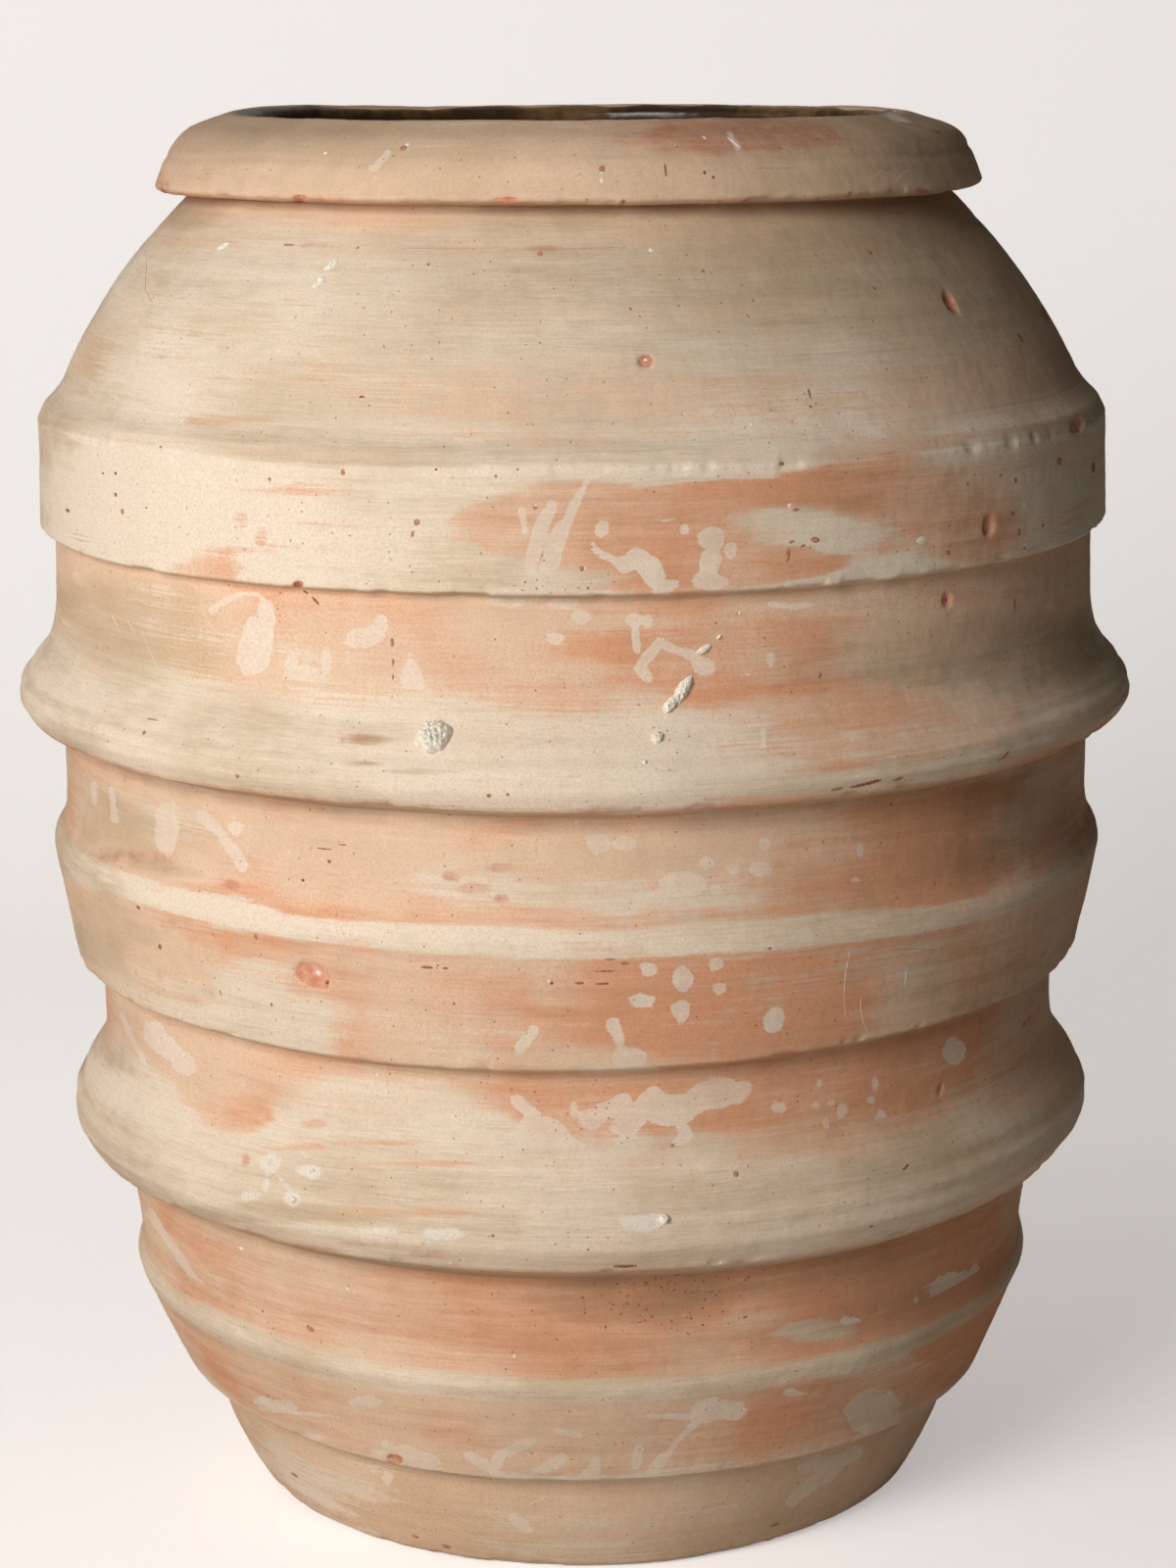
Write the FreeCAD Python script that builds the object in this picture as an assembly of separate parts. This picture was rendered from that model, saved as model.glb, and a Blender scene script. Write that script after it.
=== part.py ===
"""Olive jar: a large terracotta oil jar, built up in stages from the floor to the collar.

Each wall course ends in a bevel that the next course is luted on to. A belt or a roll of clay goes round the
outside of every such joint, a thick collar closes the shoulder, and a coat of brown glaze lines the inside.
Lengths are in millimetres. The origin is the middle of the face that the jar stands on, and +Z is up.
"""

import FreeCAD
import Part

import itertools
import math
import os

# Heights of the stages, from the ground up
FOOT_WALL_HEIGHT = 73.0
FOOT_BELT_HEIGHT = 103.0
LOWER_WALL_HEIGHT = 52.5
LOWER_ROLL_HEIGHT = 85.5
LOW_BELLY_WALL_HEIGHT = 47.5
MIDDLE_BELT_HEIGHT = 112.5
HIGH_BELLY_WALL_HEIGHT = 50.0
UPPER_ROLL_HEIGHT = 74.0
UPPER_WALL_HEIGHT = 55.5
SHOULDER_BELT_HEIGHT = 92.5
SHOULDER_HEIGHT = 124.5

# Outer radius of the bare wall at the ground and at its widest place, over the upper roll
FOOT_RADIUS = 226.0
BELLY_RADIUS = 344.0

# How far the wall draws in from the belly where the other stages meet
UNDER_FOOT_BELT_DRAW_IN = 85.5
OVER_FOOT_BELT_DRAW_IN = 41.1
UNDER_LOWER_ROLL_DRAW_IN = 33.5
OVER_LOWER_ROLL_DRAW_IN = 22.8
UNDER_MIDDLE_BELT_DRAW_IN = 22.5
OVER_MIDDLE_BELT_DRAW_IN = 2.4
UNDER_UPPER_ROLL_DRAW_IN = 2.0
UNDER_SHOULDER_BELT_DRAW_IN = 1.0
OVER_SHOULDER_BELT_DRAW_IN = 8.2

# How far the wall swells out from a straight line
FOOT_SWELL = 3.4
SHOULDER_SWELL = 7.1

# Wall, floor, joints and glaze
WALL = 25.0
FLOOR_THICKNESS = 32.0
FOOT_CHAMFER = 4.0
COVE_RADIUS = 30.0
JOINT_BEVEL = 14.0
JOINT_HEIGHT_SHARE = 0.45
GLAZE = 1.0

# Foot belt: a face that leans out to a soft ridge near its top
FOOT_BELT_EDGE_RISE = 9.0
FOOT_BELT_EDGE_STAND_OUT = 15.1
FOOT_BELT_EDGE_ROUND = 4.0
FOOT_BELT_RIDGE_DROP = 20.5
FOOT_BELT_RIDGE_STAND_OUT = 13.9
FOOT_BELT_RIDGE_ROUND = 20.0
FOOT_BELT_FLARE_DROP = 11.0
FOOT_BELT_FLARE_STAND_OUT = 5.5
FOOT_BELT_FLARE_ROUND = 18.0

# Lower roll: a crisp lower edge, a blunt nose and a long flank that flares out of the wall
LOWER_ROLL_EDGE_RISE = 12.5
LOWER_ROLL_EDGE_STAND_OUT = 23.4
LOWER_ROLL_EDGE_ROUND = 4.0
LOWER_ROLL_NOSE_RISE = 28.0
LOWER_ROLL_NOSE_STAND_OUT = 31.0
LOWER_ROLL_NOSE_ROUND = 14.0
LOWER_ROLL_RIDGE_DROP = 38.0
LOWER_ROLL_RIDGE_STAND_OUT = 27.8
LOWER_ROLL_RIDGE_ROUND = 24.0
LOWER_ROLL_FLARE_DROP = 11.0
LOWER_ROLL_FLARE_STAND_OUT = 6.0
LOWER_ROLL_FLARE_ROUND = 26.0

# Middle belt: a face that leans out to a ridge under a steep top
MIDDLE_BELT_EDGE_RISE = 6.5
MIDDLE_BELT_EDGE_STAND_OUT = 15.5
MIDDLE_BELT_EDGE_ROUND = 4.0
MIDDLE_BELT_RIDGE_DROP = 25.0
MIDDLE_BELT_RIDGE_STAND_OUT = 15.5
MIDDLE_BELT_RIDGE_ROUND = 20.0
MIDDLE_BELT_FLARE_DROP = 10.0
MIDDLE_BELT_FLARE_STAND_OUT = 3.4
MIDDLE_BELT_FLARE_ROUND = 20.0

# Upper roll: the lower roll's form, sharper at the nose
UPPER_ROLL_EDGE_RISE = 7.5
UPPER_ROLL_EDGE_STAND_OUT = 22.9
UPPER_ROLL_EDGE_ROUND = 3.0
UPPER_ROLL_NOSE_RISE = 19.0
UPPER_ROLL_NOSE_STAND_OUT = 28.4
UPPER_ROLL_NOSE_ROUND = 10.0
UPPER_ROLL_RIDGE_DROP = 42.0
UPPER_ROLL_RIDGE_STAND_OUT = 25.9
UPPER_ROLL_RIDGE_ROUND = 15.0
UPPER_ROLL_FLARE_DROP = 17.0
UPPER_ROLL_FLARE_STAND_OUT = 5.1
UPPER_ROLL_FLARE_ROUND = 26.0

# Shoulder belt: an upright face under a shallow ledge
SHOULDER_BELT_EDGE_RISE = 2.5
SHOULDER_BELT_EDGE_STAND_OUT = 10.2
SHOULDER_BELT_EDGE_ROUND = 2.5
SHOULDER_BELT_RIDGE_DROP = 19.0
SHOULDER_BELT_RIDGE_STAND_OUT = 14.3
SHOULDER_BELT_RIDGE_ROUND = 4.0
SHOULDER_BELT_FLARE_DROP = 10.0
SHOULDER_BELT_FLARE_STAND_OUT = 10.4
SHOULDER_BELT_FLARE_ROUND = 6.0

# Collar: an overhanging lip, a domed top and a round mouth
MOUTH_RADIUS = 205.0
COLLAR_SEAT_WIDTH = 42.4
THROAT_RISE = 22.5
THROAT_ROUND = 22.0
MOUTH_WALL_HEIGHT = 18.0
MOUTH_EDGE_RISE = 5.0
MOUTH_EDGE_ROUND = 4.0
CREST_WIDTH = 11.0
CREST_RISE = 4.8
CREST_ROUND = 12.0
DOME_WIDTH = 30.0
DOME_DROP = 10.8
DOME_ROUND = 40.0
BROW_WIDTH = 16.5
BROW_DROP = 15.0
BROW_ROUND = 40.0
LIP_WIDTH = 8.3
LIP_DROP = 20.5
LIP_ROUND = 3.0
LIP_UNDERCUT_WIDTH = 5.0
LIP_UNDERCUT_DROP = 2.5
LIP_UNDER_ROUND = 1.5

FULL_TURN = 360.0
# The most of a straight run that one rounding may take, with and without a rounding at its other end
SHARED_RUN_SHARE = 0.49
WHOLE_RUN_SHARE = 0.98
AXIS_POINT = FreeCAD.Vector(0, 0, 0)
AXIS = FreeCAD.Vector(0, 0, 1)

# Each stage with its height, the wall's radius at its foot and the wall's swell
STAGES = (
    ("foot_wall", FOOT_WALL_HEIGHT, FOOT_RADIUS, FOOT_SWELL),
    ("foot_belt", FOOT_BELT_HEIGHT, BELLY_RADIUS - UNDER_FOOT_BELT_DRAW_IN, 0),
    ("lower_wall", LOWER_WALL_HEIGHT, BELLY_RADIUS - OVER_FOOT_BELT_DRAW_IN, 0),
    ("lower_roll", LOWER_ROLL_HEIGHT, BELLY_RADIUS - UNDER_LOWER_ROLL_DRAW_IN, 0),
    ("low_belly_wall", LOW_BELLY_WALL_HEIGHT, BELLY_RADIUS - OVER_LOWER_ROLL_DRAW_IN, 0),
    ("middle_belt", MIDDLE_BELT_HEIGHT, BELLY_RADIUS - UNDER_MIDDLE_BELT_DRAW_IN, 0),
    ("high_belly_wall", HIGH_BELLY_WALL_HEIGHT, BELLY_RADIUS - OVER_MIDDLE_BELT_DRAW_IN, 0),
    ("upper_roll", UPPER_ROLL_HEIGHT, BELLY_RADIUS - UNDER_UPPER_ROLL_DRAW_IN, 0),
    ("upper_wall", UPPER_WALL_HEIGHT, BELLY_RADIUS, 0),
    ("shoulder_belt", SHOULDER_BELT_HEIGHT, BELLY_RADIUS - UNDER_SHOULDER_BELT_DRAW_IN, 0),
    ("shoulder", SHOULDER_HEIGHT, BELLY_RADIUS - OVER_SHOULDER_BELT_DRAW_IN, SHOULDER_SWELL),
)
COLLAR_SEAT_RADIUS = MOUTH_RADIUS + COLLAR_SEAT_WIDTH
# The courses, from the floor up, each with the belt or roll that covers the joint at its top
COURSES = (
    ("foot_course", "foot_belt"),
    ("lower_course", "lower_roll"),
    ("low_belly_course", "middle_belt"),
    ("high_belly_course", "upper_roll"),
    ("upper_course", "shoulder_belt"),
)


class Stretch:
    """One stage's outer wall in the (radius, height) plane: a line, or an arc that swells outwards."""

    def __init__(self, low, high, swell):
        self.low = low
        self.high = high
        self.swell = swell
        if swell:
            run = (high[0] - low[0], high[1] - low[1])
            chord = math.hypot(*run)
            self.arc_radius = (chord * chord / 4 + swell * swell) / (2 * swell)
            back = (self.arc_radius - swell) / chord
            self.centre = (
                (low[0] + high[0]) / 2 - run[1] * back,
                (low[1] + high[1]) / 2 + run[0] * back,
            )

    def radius(self, z):
        if self.swell:
            rise = z - self.centre[1]
            return self.centre[0] + math.sqrt(self.arc_radius**2 - rise * rise)
        share = (z - self.low[1]) / (self.high[1] - self.low[1])
        return self.low[0] + share * (self.high[0] - self.low[0])

    def edge(self, z_low, z_high, inset):
        """The wall's line between two heights, moved towards the axis by inset."""
        ends = [at(self.radius(z) - inset, z) for z in (z_low, z_high)]
        if not self.swell:
            return Part.LineSegment(*ends).toShape()
        z_mid = (z_low + z_high) / 2
        middle = at(self.radius(z_mid) - inset, z_mid)
        return Part.Arc(ends[0], middle, ends[1]).toShape()


def at(radius, z):
    """A point of an outline, in the plane that is turned about the axis."""
    return FreeCAD.Vector(radius, 0, z)


def stage_heights():
    """The lowest and highest z of each stage."""
    tops = list(itertools.accumulate(height for _, height, _, _ in STAGES))
    return {stage[0]: (top - stage[1], top) for stage, top in zip(STAGES, tops)}


def wall_stretches():
    """The outer wall as one stretch per stage, from the ground to the collar."""
    radii = [radius for _, _, radius, _ in STAGES] + [COLLAR_SEAT_RADIUS]
    stretches = []
    for index, (name, _, _, swell) in enumerate(STAGES):
        z_low, z_high = HEIGHTS[name]
        stretches.append(Stretch((radii[index], z_low), (radii[index + 1], z_high), swell))
    return stretches


HEIGHTS = stage_heights()
STRETCHES = wall_stretches()
SHOULDER_TOP = HEIGHTS["shoulder"][1]


def wall_radius(z):
    """The outer wall's radius at a height."""
    return next(s for s in STRETCHES if z <= s.high[1]).radius(z)


def wall_edges(z_low, z_high, inset=0):
    """The wall's line from z_low up to z_high, moved towards the axis by inset."""
    edges = []
    for stretch in STRETCHES:
        low = max(z_low, stretch.low[1])
        high = min(z_high, stretch.high[1])
        if high > low:
            edges.append(stretch.edge(low, high, inset))
    return edges


def line(start, end):
    return Part.LineSegment(start, end).toShape()


def rounded_path(corners):
    """Edges along corners, each (radius, z) or (radius, z, rounding), with every rounded corner as an arc."""
    points = [at(corner[0], corner[1]) for corner in corners]
    rounds = [corner[2] if len(corner) > 2 else 0 for corner in corners]
    edges = []
    start = points[0]
    for index in range(1, len(points) - 1):
        corner = points[index]
        if not rounds[index]:
            edges.append(line(start, corner))
            start = corner
            continue
        before = points[index - 1] - corner
        after = points[index + 1] - corner
        half_turn = (math.pi - before.getAngle(after)) / 2
        length = rounds[index] * math.tan(half_turn)
        for run, neighbour in ((before, rounds[index - 1]), (after, rounds[index + 1])):
            length = min(length, run.Length * (SHARED_RUN_SHARE if neighbour else WHOLE_RUN_SHARE))
        radius = length / math.tan(half_turn)
        before.normalize()
        after.normalize()
        inward = (before + after).normalize()
        middle = corner + inward * (radius / math.cos(half_turn) - radius)
        enter = corner + before * length
        leave = corner + after * length
        edges.append(line(start, enter))
        edges.append(Part.Arc(enter, middle, leave).toShape())
        start = leave
    edges.append(line(start, points[-1]))
    return edges


def turned(edges):
    """The solid that a closed outline makes when it is turned about the axis."""
    wire = Part.Wire(Part.__sortEdges__(edges))
    return Part.Face(wire).revolve(AXIS_POINT, AXIS, FULL_TURN)


def joint_height(cover):
    """The height, on the outside, of the joint that a belt or roll covers."""
    low, high = HEIGHTS[cover]
    return low + JOINT_HEIGHT_SHARE * (high - low)


def inner_corner(z):
    """The wall's inner corner of a bevelled joint whose outer corner is at height z."""
    return at(wall_radius(z + JOINT_BEVEL) - WALL, z + JOINT_BEVEL)


def cove_centre():
    """The centre of the hollow arc where the wall's inside runs into the floor, as (radius, z)."""
    z = FLOOR_THICKNESS + COVE_RADIUS
    return wall_radius(z) - WALL - COVE_RADIUS, z


def cove_arc(glaze):
    """The hollow arc from the floor to the wall, on the clay or on a coat of glaze over it."""
    radius, z = cove_centre()
    size = COVE_RADIUS - glaze
    lean = size * math.sqrt(2) / 2
    return Part.Arc(at(radius, z - size), at(radius + lean, z - lean), at(radius + size, z)).toShape()


def floor_slab():
    """The round slab that the jar stands on, with a bevelled edge for the first course."""
    edge_z = FLOOR_THICKNESS - JOINT_BEVEL
    chamfer = at(wall_radius(FOOT_CHAMFER), FOOT_CHAMFER)
    ground = at(FOOT_RADIUS - FOOT_CHAMFER, 0)
    rim = at(cove_centre()[0], FLOOR_THICKNESS)
    top = at(0, FLOOR_THICKNESS)
    return turned(
        [line(AXIS_POINT, ground), line(ground, chamfer)]
        + wall_edges(FOOT_CHAMFER, edge_z)
        + [line(at(wall_radius(edge_z), edge_z), rim), line(rim, top), line(top, AXIS_POINT)]
    )


def foot_course(cover):
    """The lowest course, which stands on the slab and runs into the floor with a cove."""
    low = FLOOR_THICKNESS - JOINT_BEVEL
    high = joint_height(cover)
    radius, cove_top = cove_centre()
    return turned(
        [line(at(radius, FLOOR_THICKNESS), at(wall_radius(low), low))]
        + wall_edges(low, high)
        + [line(at(wall_radius(high), high), inner_corner(high))]
        + wall_edges(cove_top, high + JOINT_BEVEL, WALL)
        + [cove_arc(0)]
    )


def wall_course(cover_below, cover):
    """A course between two bevelled joints."""
    low = joint_height(cover_below)
    high = joint_height(cover)
    return turned(
        [line(inner_corner(low), at(wall_radius(low), low))]
        + wall_edges(low, high)
        + [line(at(wall_radius(high), high), inner_corner(high))]
        + wall_edges(low + JOINT_BEVEL, high + JOINT_BEVEL, WALL)
    )


def collar_seat():
    """The flat line where the collar sits on the shoulder's wall."""
    return line(at(COLLAR_SEAT_RADIUS, SHOULDER_TOP), at(COLLAR_SEAT_RADIUS - WALL, SHOULDER_TOP))


def shoulder_course(cover_below):
    """The course that draws in to the collar and ends in a flat seat for it."""
    low = joint_height(cover_below)
    return turned(
        [line(inner_corner(low), at(wall_radius(low), low))]
        + wall_edges(low, SHOULDER_TOP)
        + [collar_seat()]
        + wall_edges(low + JOINT_BEVEL, SHOULDER_TOP, WALL)
    )


def band(stage, under, over):
    """A belt or roll of clay round a joint, from its lower edge out to its ridge and back into the wall.

    under holds corners as (rise from the stage's foot, stand-out, rounding), the lowest first.
    over holds corners as (drop from the stage's top, stand-out, rounding), the lowest first.
    A stand-out is measured from the wall beside that corner.
    """
    z_low, z_high = HEIGHTS[stage]
    corners = [(z_low + rise, *shape) for rise, *shape in under]
    corners += [(z_high - drop, *shape) for drop, *shape in over]
    path = rounded_path(
        [(wall_radius(z_low), z_low)]
        + [(wall_radius(z) + stand_out, z, rounding) for z, stand_out, rounding in corners]
        + [(wall_radius(z_high), z_high)]
    )
    return turned(path + wall_edges(z_low, z_high))


def bands():
    """The three belts and two rolls, from the foot up."""
    return {
        "foot_belt": band(
            "foot_belt",
            [
                (FOOT_BELT_EDGE_RISE, FOOT_BELT_EDGE_STAND_OUT, FOOT_BELT_EDGE_ROUND),
            ],
            [
                (FOOT_BELT_RIDGE_DROP, FOOT_BELT_RIDGE_STAND_OUT, FOOT_BELT_RIDGE_ROUND),
                (FOOT_BELT_FLARE_DROP, FOOT_BELT_FLARE_STAND_OUT, FOOT_BELT_FLARE_ROUND),
            ],
        ),
        "lower_roll": band(
            "lower_roll",
            [
                (LOWER_ROLL_EDGE_RISE, LOWER_ROLL_EDGE_STAND_OUT, LOWER_ROLL_EDGE_ROUND),
                (LOWER_ROLL_NOSE_RISE, LOWER_ROLL_NOSE_STAND_OUT, LOWER_ROLL_NOSE_ROUND),
            ],
            [
                (LOWER_ROLL_RIDGE_DROP, LOWER_ROLL_RIDGE_STAND_OUT, LOWER_ROLL_RIDGE_ROUND),
                (LOWER_ROLL_FLARE_DROP, LOWER_ROLL_FLARE_STAND_OUT, LOWER_ROLL_FLARE_ROUND),
            ],
        ),
        "middle_belt": band(
            "middle_belt",
            [
                (MIDDLE_BELT_EDGE_RISE, MIDDLE_BELT_EDGE_STAND_OUT, MIDDLE_BELT_EDGE_ROUND),
            ],
            [
                (MIDDLE_BELT_RIDGE_DROP, MIDDLE_BELT_RIDGE_STAND_OUT, MIDDLE_BELT_RIDGE_ROUND),
                (MIDDLE_BELT_FLARE_DROP, MIDDLE_BELT_FLARE_STAND_OUT, MIDDLE_BELT_FLARE_ROUND),
            ],
        ),
        "upper_roll": band(
            "upper_roll",
            [
                (UPPER_ROLL_EDGE_RISE, UPPER_ROLL_EDGE_STAND_OUT, UPPER_ROLL_EDGE_ROUND),
                (UPPER_ROLL_NOSE_RISE, UPPER_ROLL_NOSE_STAND_OUT, UPPER_ROLL_NOSE_ROUND),
            ],
            [
                (UPPER_ROLL_RIDGE_DROP, UPPER_ROLL_RIDGE_STAND_OUT, UPPER_ROLL_RIDGE_ROUND),
                (UPPER_ROLL_FLARE_DROP, UPPER_ROLL_FLARE_STAND_OUT, UPPER_ROLL_FLARE_ROUND),
            ],
        ),
        "shoulder_belt": band(
            "shoulder_belt",
            [
                (SHOULDER_BELT_EDGE_RISE, SHOULDER_BELT_EDGE_STAND_OUT, SHOULDER_BELT_EDGE_ROUND),
            ],
            [
                (SHOULDER_BELT_RIDGE_DROP, SHOULDER_BELT_RIDGE_STAND_OUT, SHOULDER_BELT_RIDGE_ROUND),
                (SHOULDER_BELT_FLARE_DROP, SHOULDER_BELT_FLARE_STAND_OUT, SHOULDER_BELT_FLARE_ROUND),
            ],
        ),
    }


def throat_corners():
    """The mouth's wall, from the shoulder's inside up to the edge of the glaze."""
    throat_top = SHOULDER_TOP + THROAT_RISE
    return [
        (COLLAR_SEAT_RADIUS - WALL, SHOULDER_TOP),
        (MOUTH_RADIUS, throat_top, THROAT_ROUND),
        (MOUTH_RADIUS, throat_top + MOUTH_WALL_HEIGHT),
    ]


def collar():
    """The thick collar that sits on the shoulder's seat and overhangs it."""
    mouth_top = SHOULDER_TOP + THROAT_RISE + MOUTH_WALL_HEIGHT
    edge = (MOUTH_RADIUS, mouth_top + MOUTH_EDGE_RISE)
    crest = (edge[0] + CREST_WIDTH, edge[1] + CREST_RISE)
    dome = (crest[0] + DOME_WIDTH, crest[1] - DOME_DROP)
    brow = (dome[0] + BROW_WIDTH, dome[1] - BROW_DROP)
    lip = (brow[0] + LIP_WIDTH, brow[1] - LIP_DROP)
    under = (lip[0] - LIP_UNDERCUT_WIDTH, lip[1] - LIP_UNDERCUT_DROP)
    outside = rounded_path(
        [
            (MOUTH_RADIUS, mouth_top),
            (*edge, MOUTH_EDGE_ROUND),
            (*crest, CREST_ROUND),
            (*dome, DOME_ROUND),
            (*brow, BROW_ROUND),
            (*lip, LIP_ROUND),
            (*under, LIP_UNDER_ROUND),
            (COLLAR_SEAT_RADIUS, SHOULDER_TOP),
        ]
    )
    return turned(rounded_path(throat_corners()) + outside + [collar_seat()])


def glaze_lining():
    """The coat of glaze over the floor, the cove, the walls and the mouth's wall."""
    radius, cove_top = cove_centre()
    mouth = throat_corners()
    coat = [(corner[0] - GLAZE, *corner[1:]) for corner in mouth]
    clay_side = (
        [line(at(0, FLOOR_THICKNESS), at(radius, FLOOR_THICKNESS)), cove_arc(0)]
        + wall_edges(cove_top, SHOULDER_TOP, WALL)
        + rounded_path(mouth)
    )
    open_side = (
        [line(at(0, FLOOR_THICKNESS + GLAZE), at(radius, FLOOR_THICKNESS + GLAZE)), cove_arc(GLAZE)]
        + wall_edges(cove_top, SHOULDER_TOP, WALL + GLAZE)
        + rounded_path(coat)
    )
    ends = [
        line(at(0, FLOOR_THICKNESS), at(0, FLOOR_THICKNESS + GLAZE)),
        line(at(*mouth[-1]), at(*coat[-1])),
    ]
    return turned(clay_side + open_side + ends)


def pieces():
    """Every piece of the jar under its name."""
    made = {"floor_slab": floor_slab(), COURSES[0][0]: foot_course(COURSES[0][1])}
    for (_, below), (name, cover) in zip(COURSES, COURSES[1:]):
        made[name] = wall_course(below, cover)
    made["shoulder_course"] = shoulder_course(COURSES[-1][1])
    made.update(bands())
    made["collar"] = collar()
    made["glaze_lining"] = glaze_lining()
    return made


def main():
    os.makedirs("parts", exist_ok=True)
    for name, shape in pieces().items():
        print(f"{name}: volume {shape.Volume:.0f}, valid {shape.isValid()}")
        shape.exportStep(os.path.join("parts", f"{name}.step"))


main()
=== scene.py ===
"""Looks of a large terracotta oil jar: worn clay, pale slip, splashes, chips, old mortar and a brown glaze.

Every clay piece is a fine mesh turned from the section of its solid. One skin and one field of small errors
shape them all alike, so that the pieces stay seated on each other. Metres, +Z up, and -Y is the side that
faces the camera. Marks that are listed one by one are written in pixels of the photograph, and sit on the
clay seen there.
"""

import itertools
import math
from collections import namedtuple

import bpy
import numpy as np
from mathutils import Matrix, Vector


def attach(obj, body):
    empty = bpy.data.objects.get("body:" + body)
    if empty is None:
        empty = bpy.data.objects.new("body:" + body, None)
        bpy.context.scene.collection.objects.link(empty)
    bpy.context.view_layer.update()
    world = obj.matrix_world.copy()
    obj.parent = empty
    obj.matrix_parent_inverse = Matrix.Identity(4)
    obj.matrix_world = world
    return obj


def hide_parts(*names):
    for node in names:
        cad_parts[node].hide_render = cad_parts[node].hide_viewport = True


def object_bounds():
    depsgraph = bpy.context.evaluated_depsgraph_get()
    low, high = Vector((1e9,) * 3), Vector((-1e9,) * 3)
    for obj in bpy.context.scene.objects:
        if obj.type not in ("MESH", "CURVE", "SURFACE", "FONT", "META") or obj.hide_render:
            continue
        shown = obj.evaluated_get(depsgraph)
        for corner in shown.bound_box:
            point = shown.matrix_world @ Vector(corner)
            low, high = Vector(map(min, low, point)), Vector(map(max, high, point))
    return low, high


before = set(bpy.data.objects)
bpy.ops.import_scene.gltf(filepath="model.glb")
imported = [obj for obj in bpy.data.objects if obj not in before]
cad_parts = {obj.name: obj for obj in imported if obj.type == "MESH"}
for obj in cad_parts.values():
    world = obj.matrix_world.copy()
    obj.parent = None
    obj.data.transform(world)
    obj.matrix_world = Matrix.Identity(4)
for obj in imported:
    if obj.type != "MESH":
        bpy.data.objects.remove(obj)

CAD_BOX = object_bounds()
MM = 0.001

# The photograph's frame and the camera that took it
PHOTO_WIDTH = 1200
PHOTO_HEIGHT = 1600
FOCAL_PIXELS = 3606.9
SENSOR = 36.0
CAMERA_PLACE = np.array((0.0082, -2.353, 0.969))
CAMERA_PITCH = math.radians(11.98)
CAMERA_ROLL = math.radians(-0.34)
# Pixels of the photograph for a metre of the jar's front
FRONT_SCALE = 1800

# Fineness of the meshes; the steps on the camera's side are FRONT_STEP_SHARE of an even step
TURN_STEPS = 1120
FRONT_STEP_SHARE = 0.5
ROW_STEP = 2.2 * MM
LINING_TURN_STEPS = 480
LINING_ROW_STEP = 8 * MM
COVER_PROBE = 0.5 * MM
# A joint between faces that meet at more than this is kept crisp
CRISP_ANGLE = math.radians(60)

# The clay pieces in the order of their outer faces, from the floor up to the mouth
CLAY_NODES = (
    "floor_slab",
    "foot_course",
    "foot_belt",
    "lower_course",
    "lower_roll",
    "low_belly_course",
    "middle_belt",
    "high_belly_course",
    "upper_roll",
    "upper_course",
    "shoulder_belt",
    "shoulder_course",
    "collar",
)
SLIP_WASHED_NODES = (
    "foot_belt", "lower_roll", "middle_belt", "upper_roll", "shoulder_belt", "shoulder_course", "collar",
)


def smooth(low, high, value):
    """0 below low, 1 above high, and a smooth step between."""
    share = np.clip((value - low) / (high - low), 0, 1)
    return share * share * (3 - 2 * share)


def bell(value, reach):
    """1 where the value is zero, and nearly 0 at twice the reach."""
    return np.exp(-((value / reach) ** 2))


def turn_from(angle, middle):
    """How far angles are from a middle one, from minus half a turn to half a turn."""
    return (angle - middle + math.pi) % (2 * math.pi) - math.pi


# Random fields

NOISE_TABLE = 4096
CELL_FACTORS = (73856093, 19349663, 83492791)


def noise(points, seed):
    """Smooth random values from about -1 to 1 on a lattice one unit wide."""
    table = np.random.default_rng(seed).uniform(-1, 1, NOISE_TABLE)
    base = np.floor(points).astype(np.int64)
    part = points - base
    ease = part**3 * (part * (part * 6 - 15) + 10)
    total = np.zeros(len(points))
    for corner in itertools.product((0, 1), repeat=3):
        cell = (base + corner) * CELL_FACTORS
        index = (cell[:, 0] ^ cell[:, 1] ^ cell[:, 2]) & (NOISE_TABLE - 1)
        total += np.where(corner, ease, 1 - ease).prod(axis=1) * table[index]
    return total


def fractal(points, seed, octaves):
    """Noise with finer and weaker noise added to it, from about -1 to 1."""
    total = np.zeros(len(points))
    for octave in range(octaves):
        total += noise(points * 2**octave, seed + octave) * 0.5**octave
    return total


# A random field: its waves to a unit of length, across and up, its seed, its octaves and its strength
Field = namedtuple("Field", "around up seed octaves amount")


def scattered(points, field, offset=0):
    """The values of a random field at points."""
    waves = points * (field.around, field.around, field.up) + offset
    return field.amount * fractal(waves, field.seed, field.octaves)


# The photograph's camera


def camera_matrix():
    turn = Matrix.Rotation(math.pi / 2 - CAMERA_PITCH, 4, "X") @ Matrix.Rotation(CAMERA_ROLL, 4, "Z")
    return Matrix.Translation(Vector(CAMERA_PLACE)) @ turn


CAMERA_TURN = np.array(camera_matrix().to_3x3())


def photo_pixels(points):
    """Where points are seen in the photograph, as columns x and y."""
    local = (points - CAMERA_PLACE) @ CAMERA_TURN
    x = PHOTO_WIDTH / 2 - FOCAL_PIXELS * local[:, 0] / local[:, 2]
    y = PHOTO_HEIGHT / 2 + FOCAL_PIXELS * local[:, 1] / local[:, 2]
    return x, y


def photo_ray(x, y):
    """The unit direction from the camera through a pixel of the photograph."""
    ray = CAMERA_TURN @ ((x - PHOTO_WIDTH / 2) / FOCAL_PIXELS, (PHOTO_HEIGHT / 2 - y) / FOCAL_PIXELS, -1)
    return ray / np.linalg.norm(ray)


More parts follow.
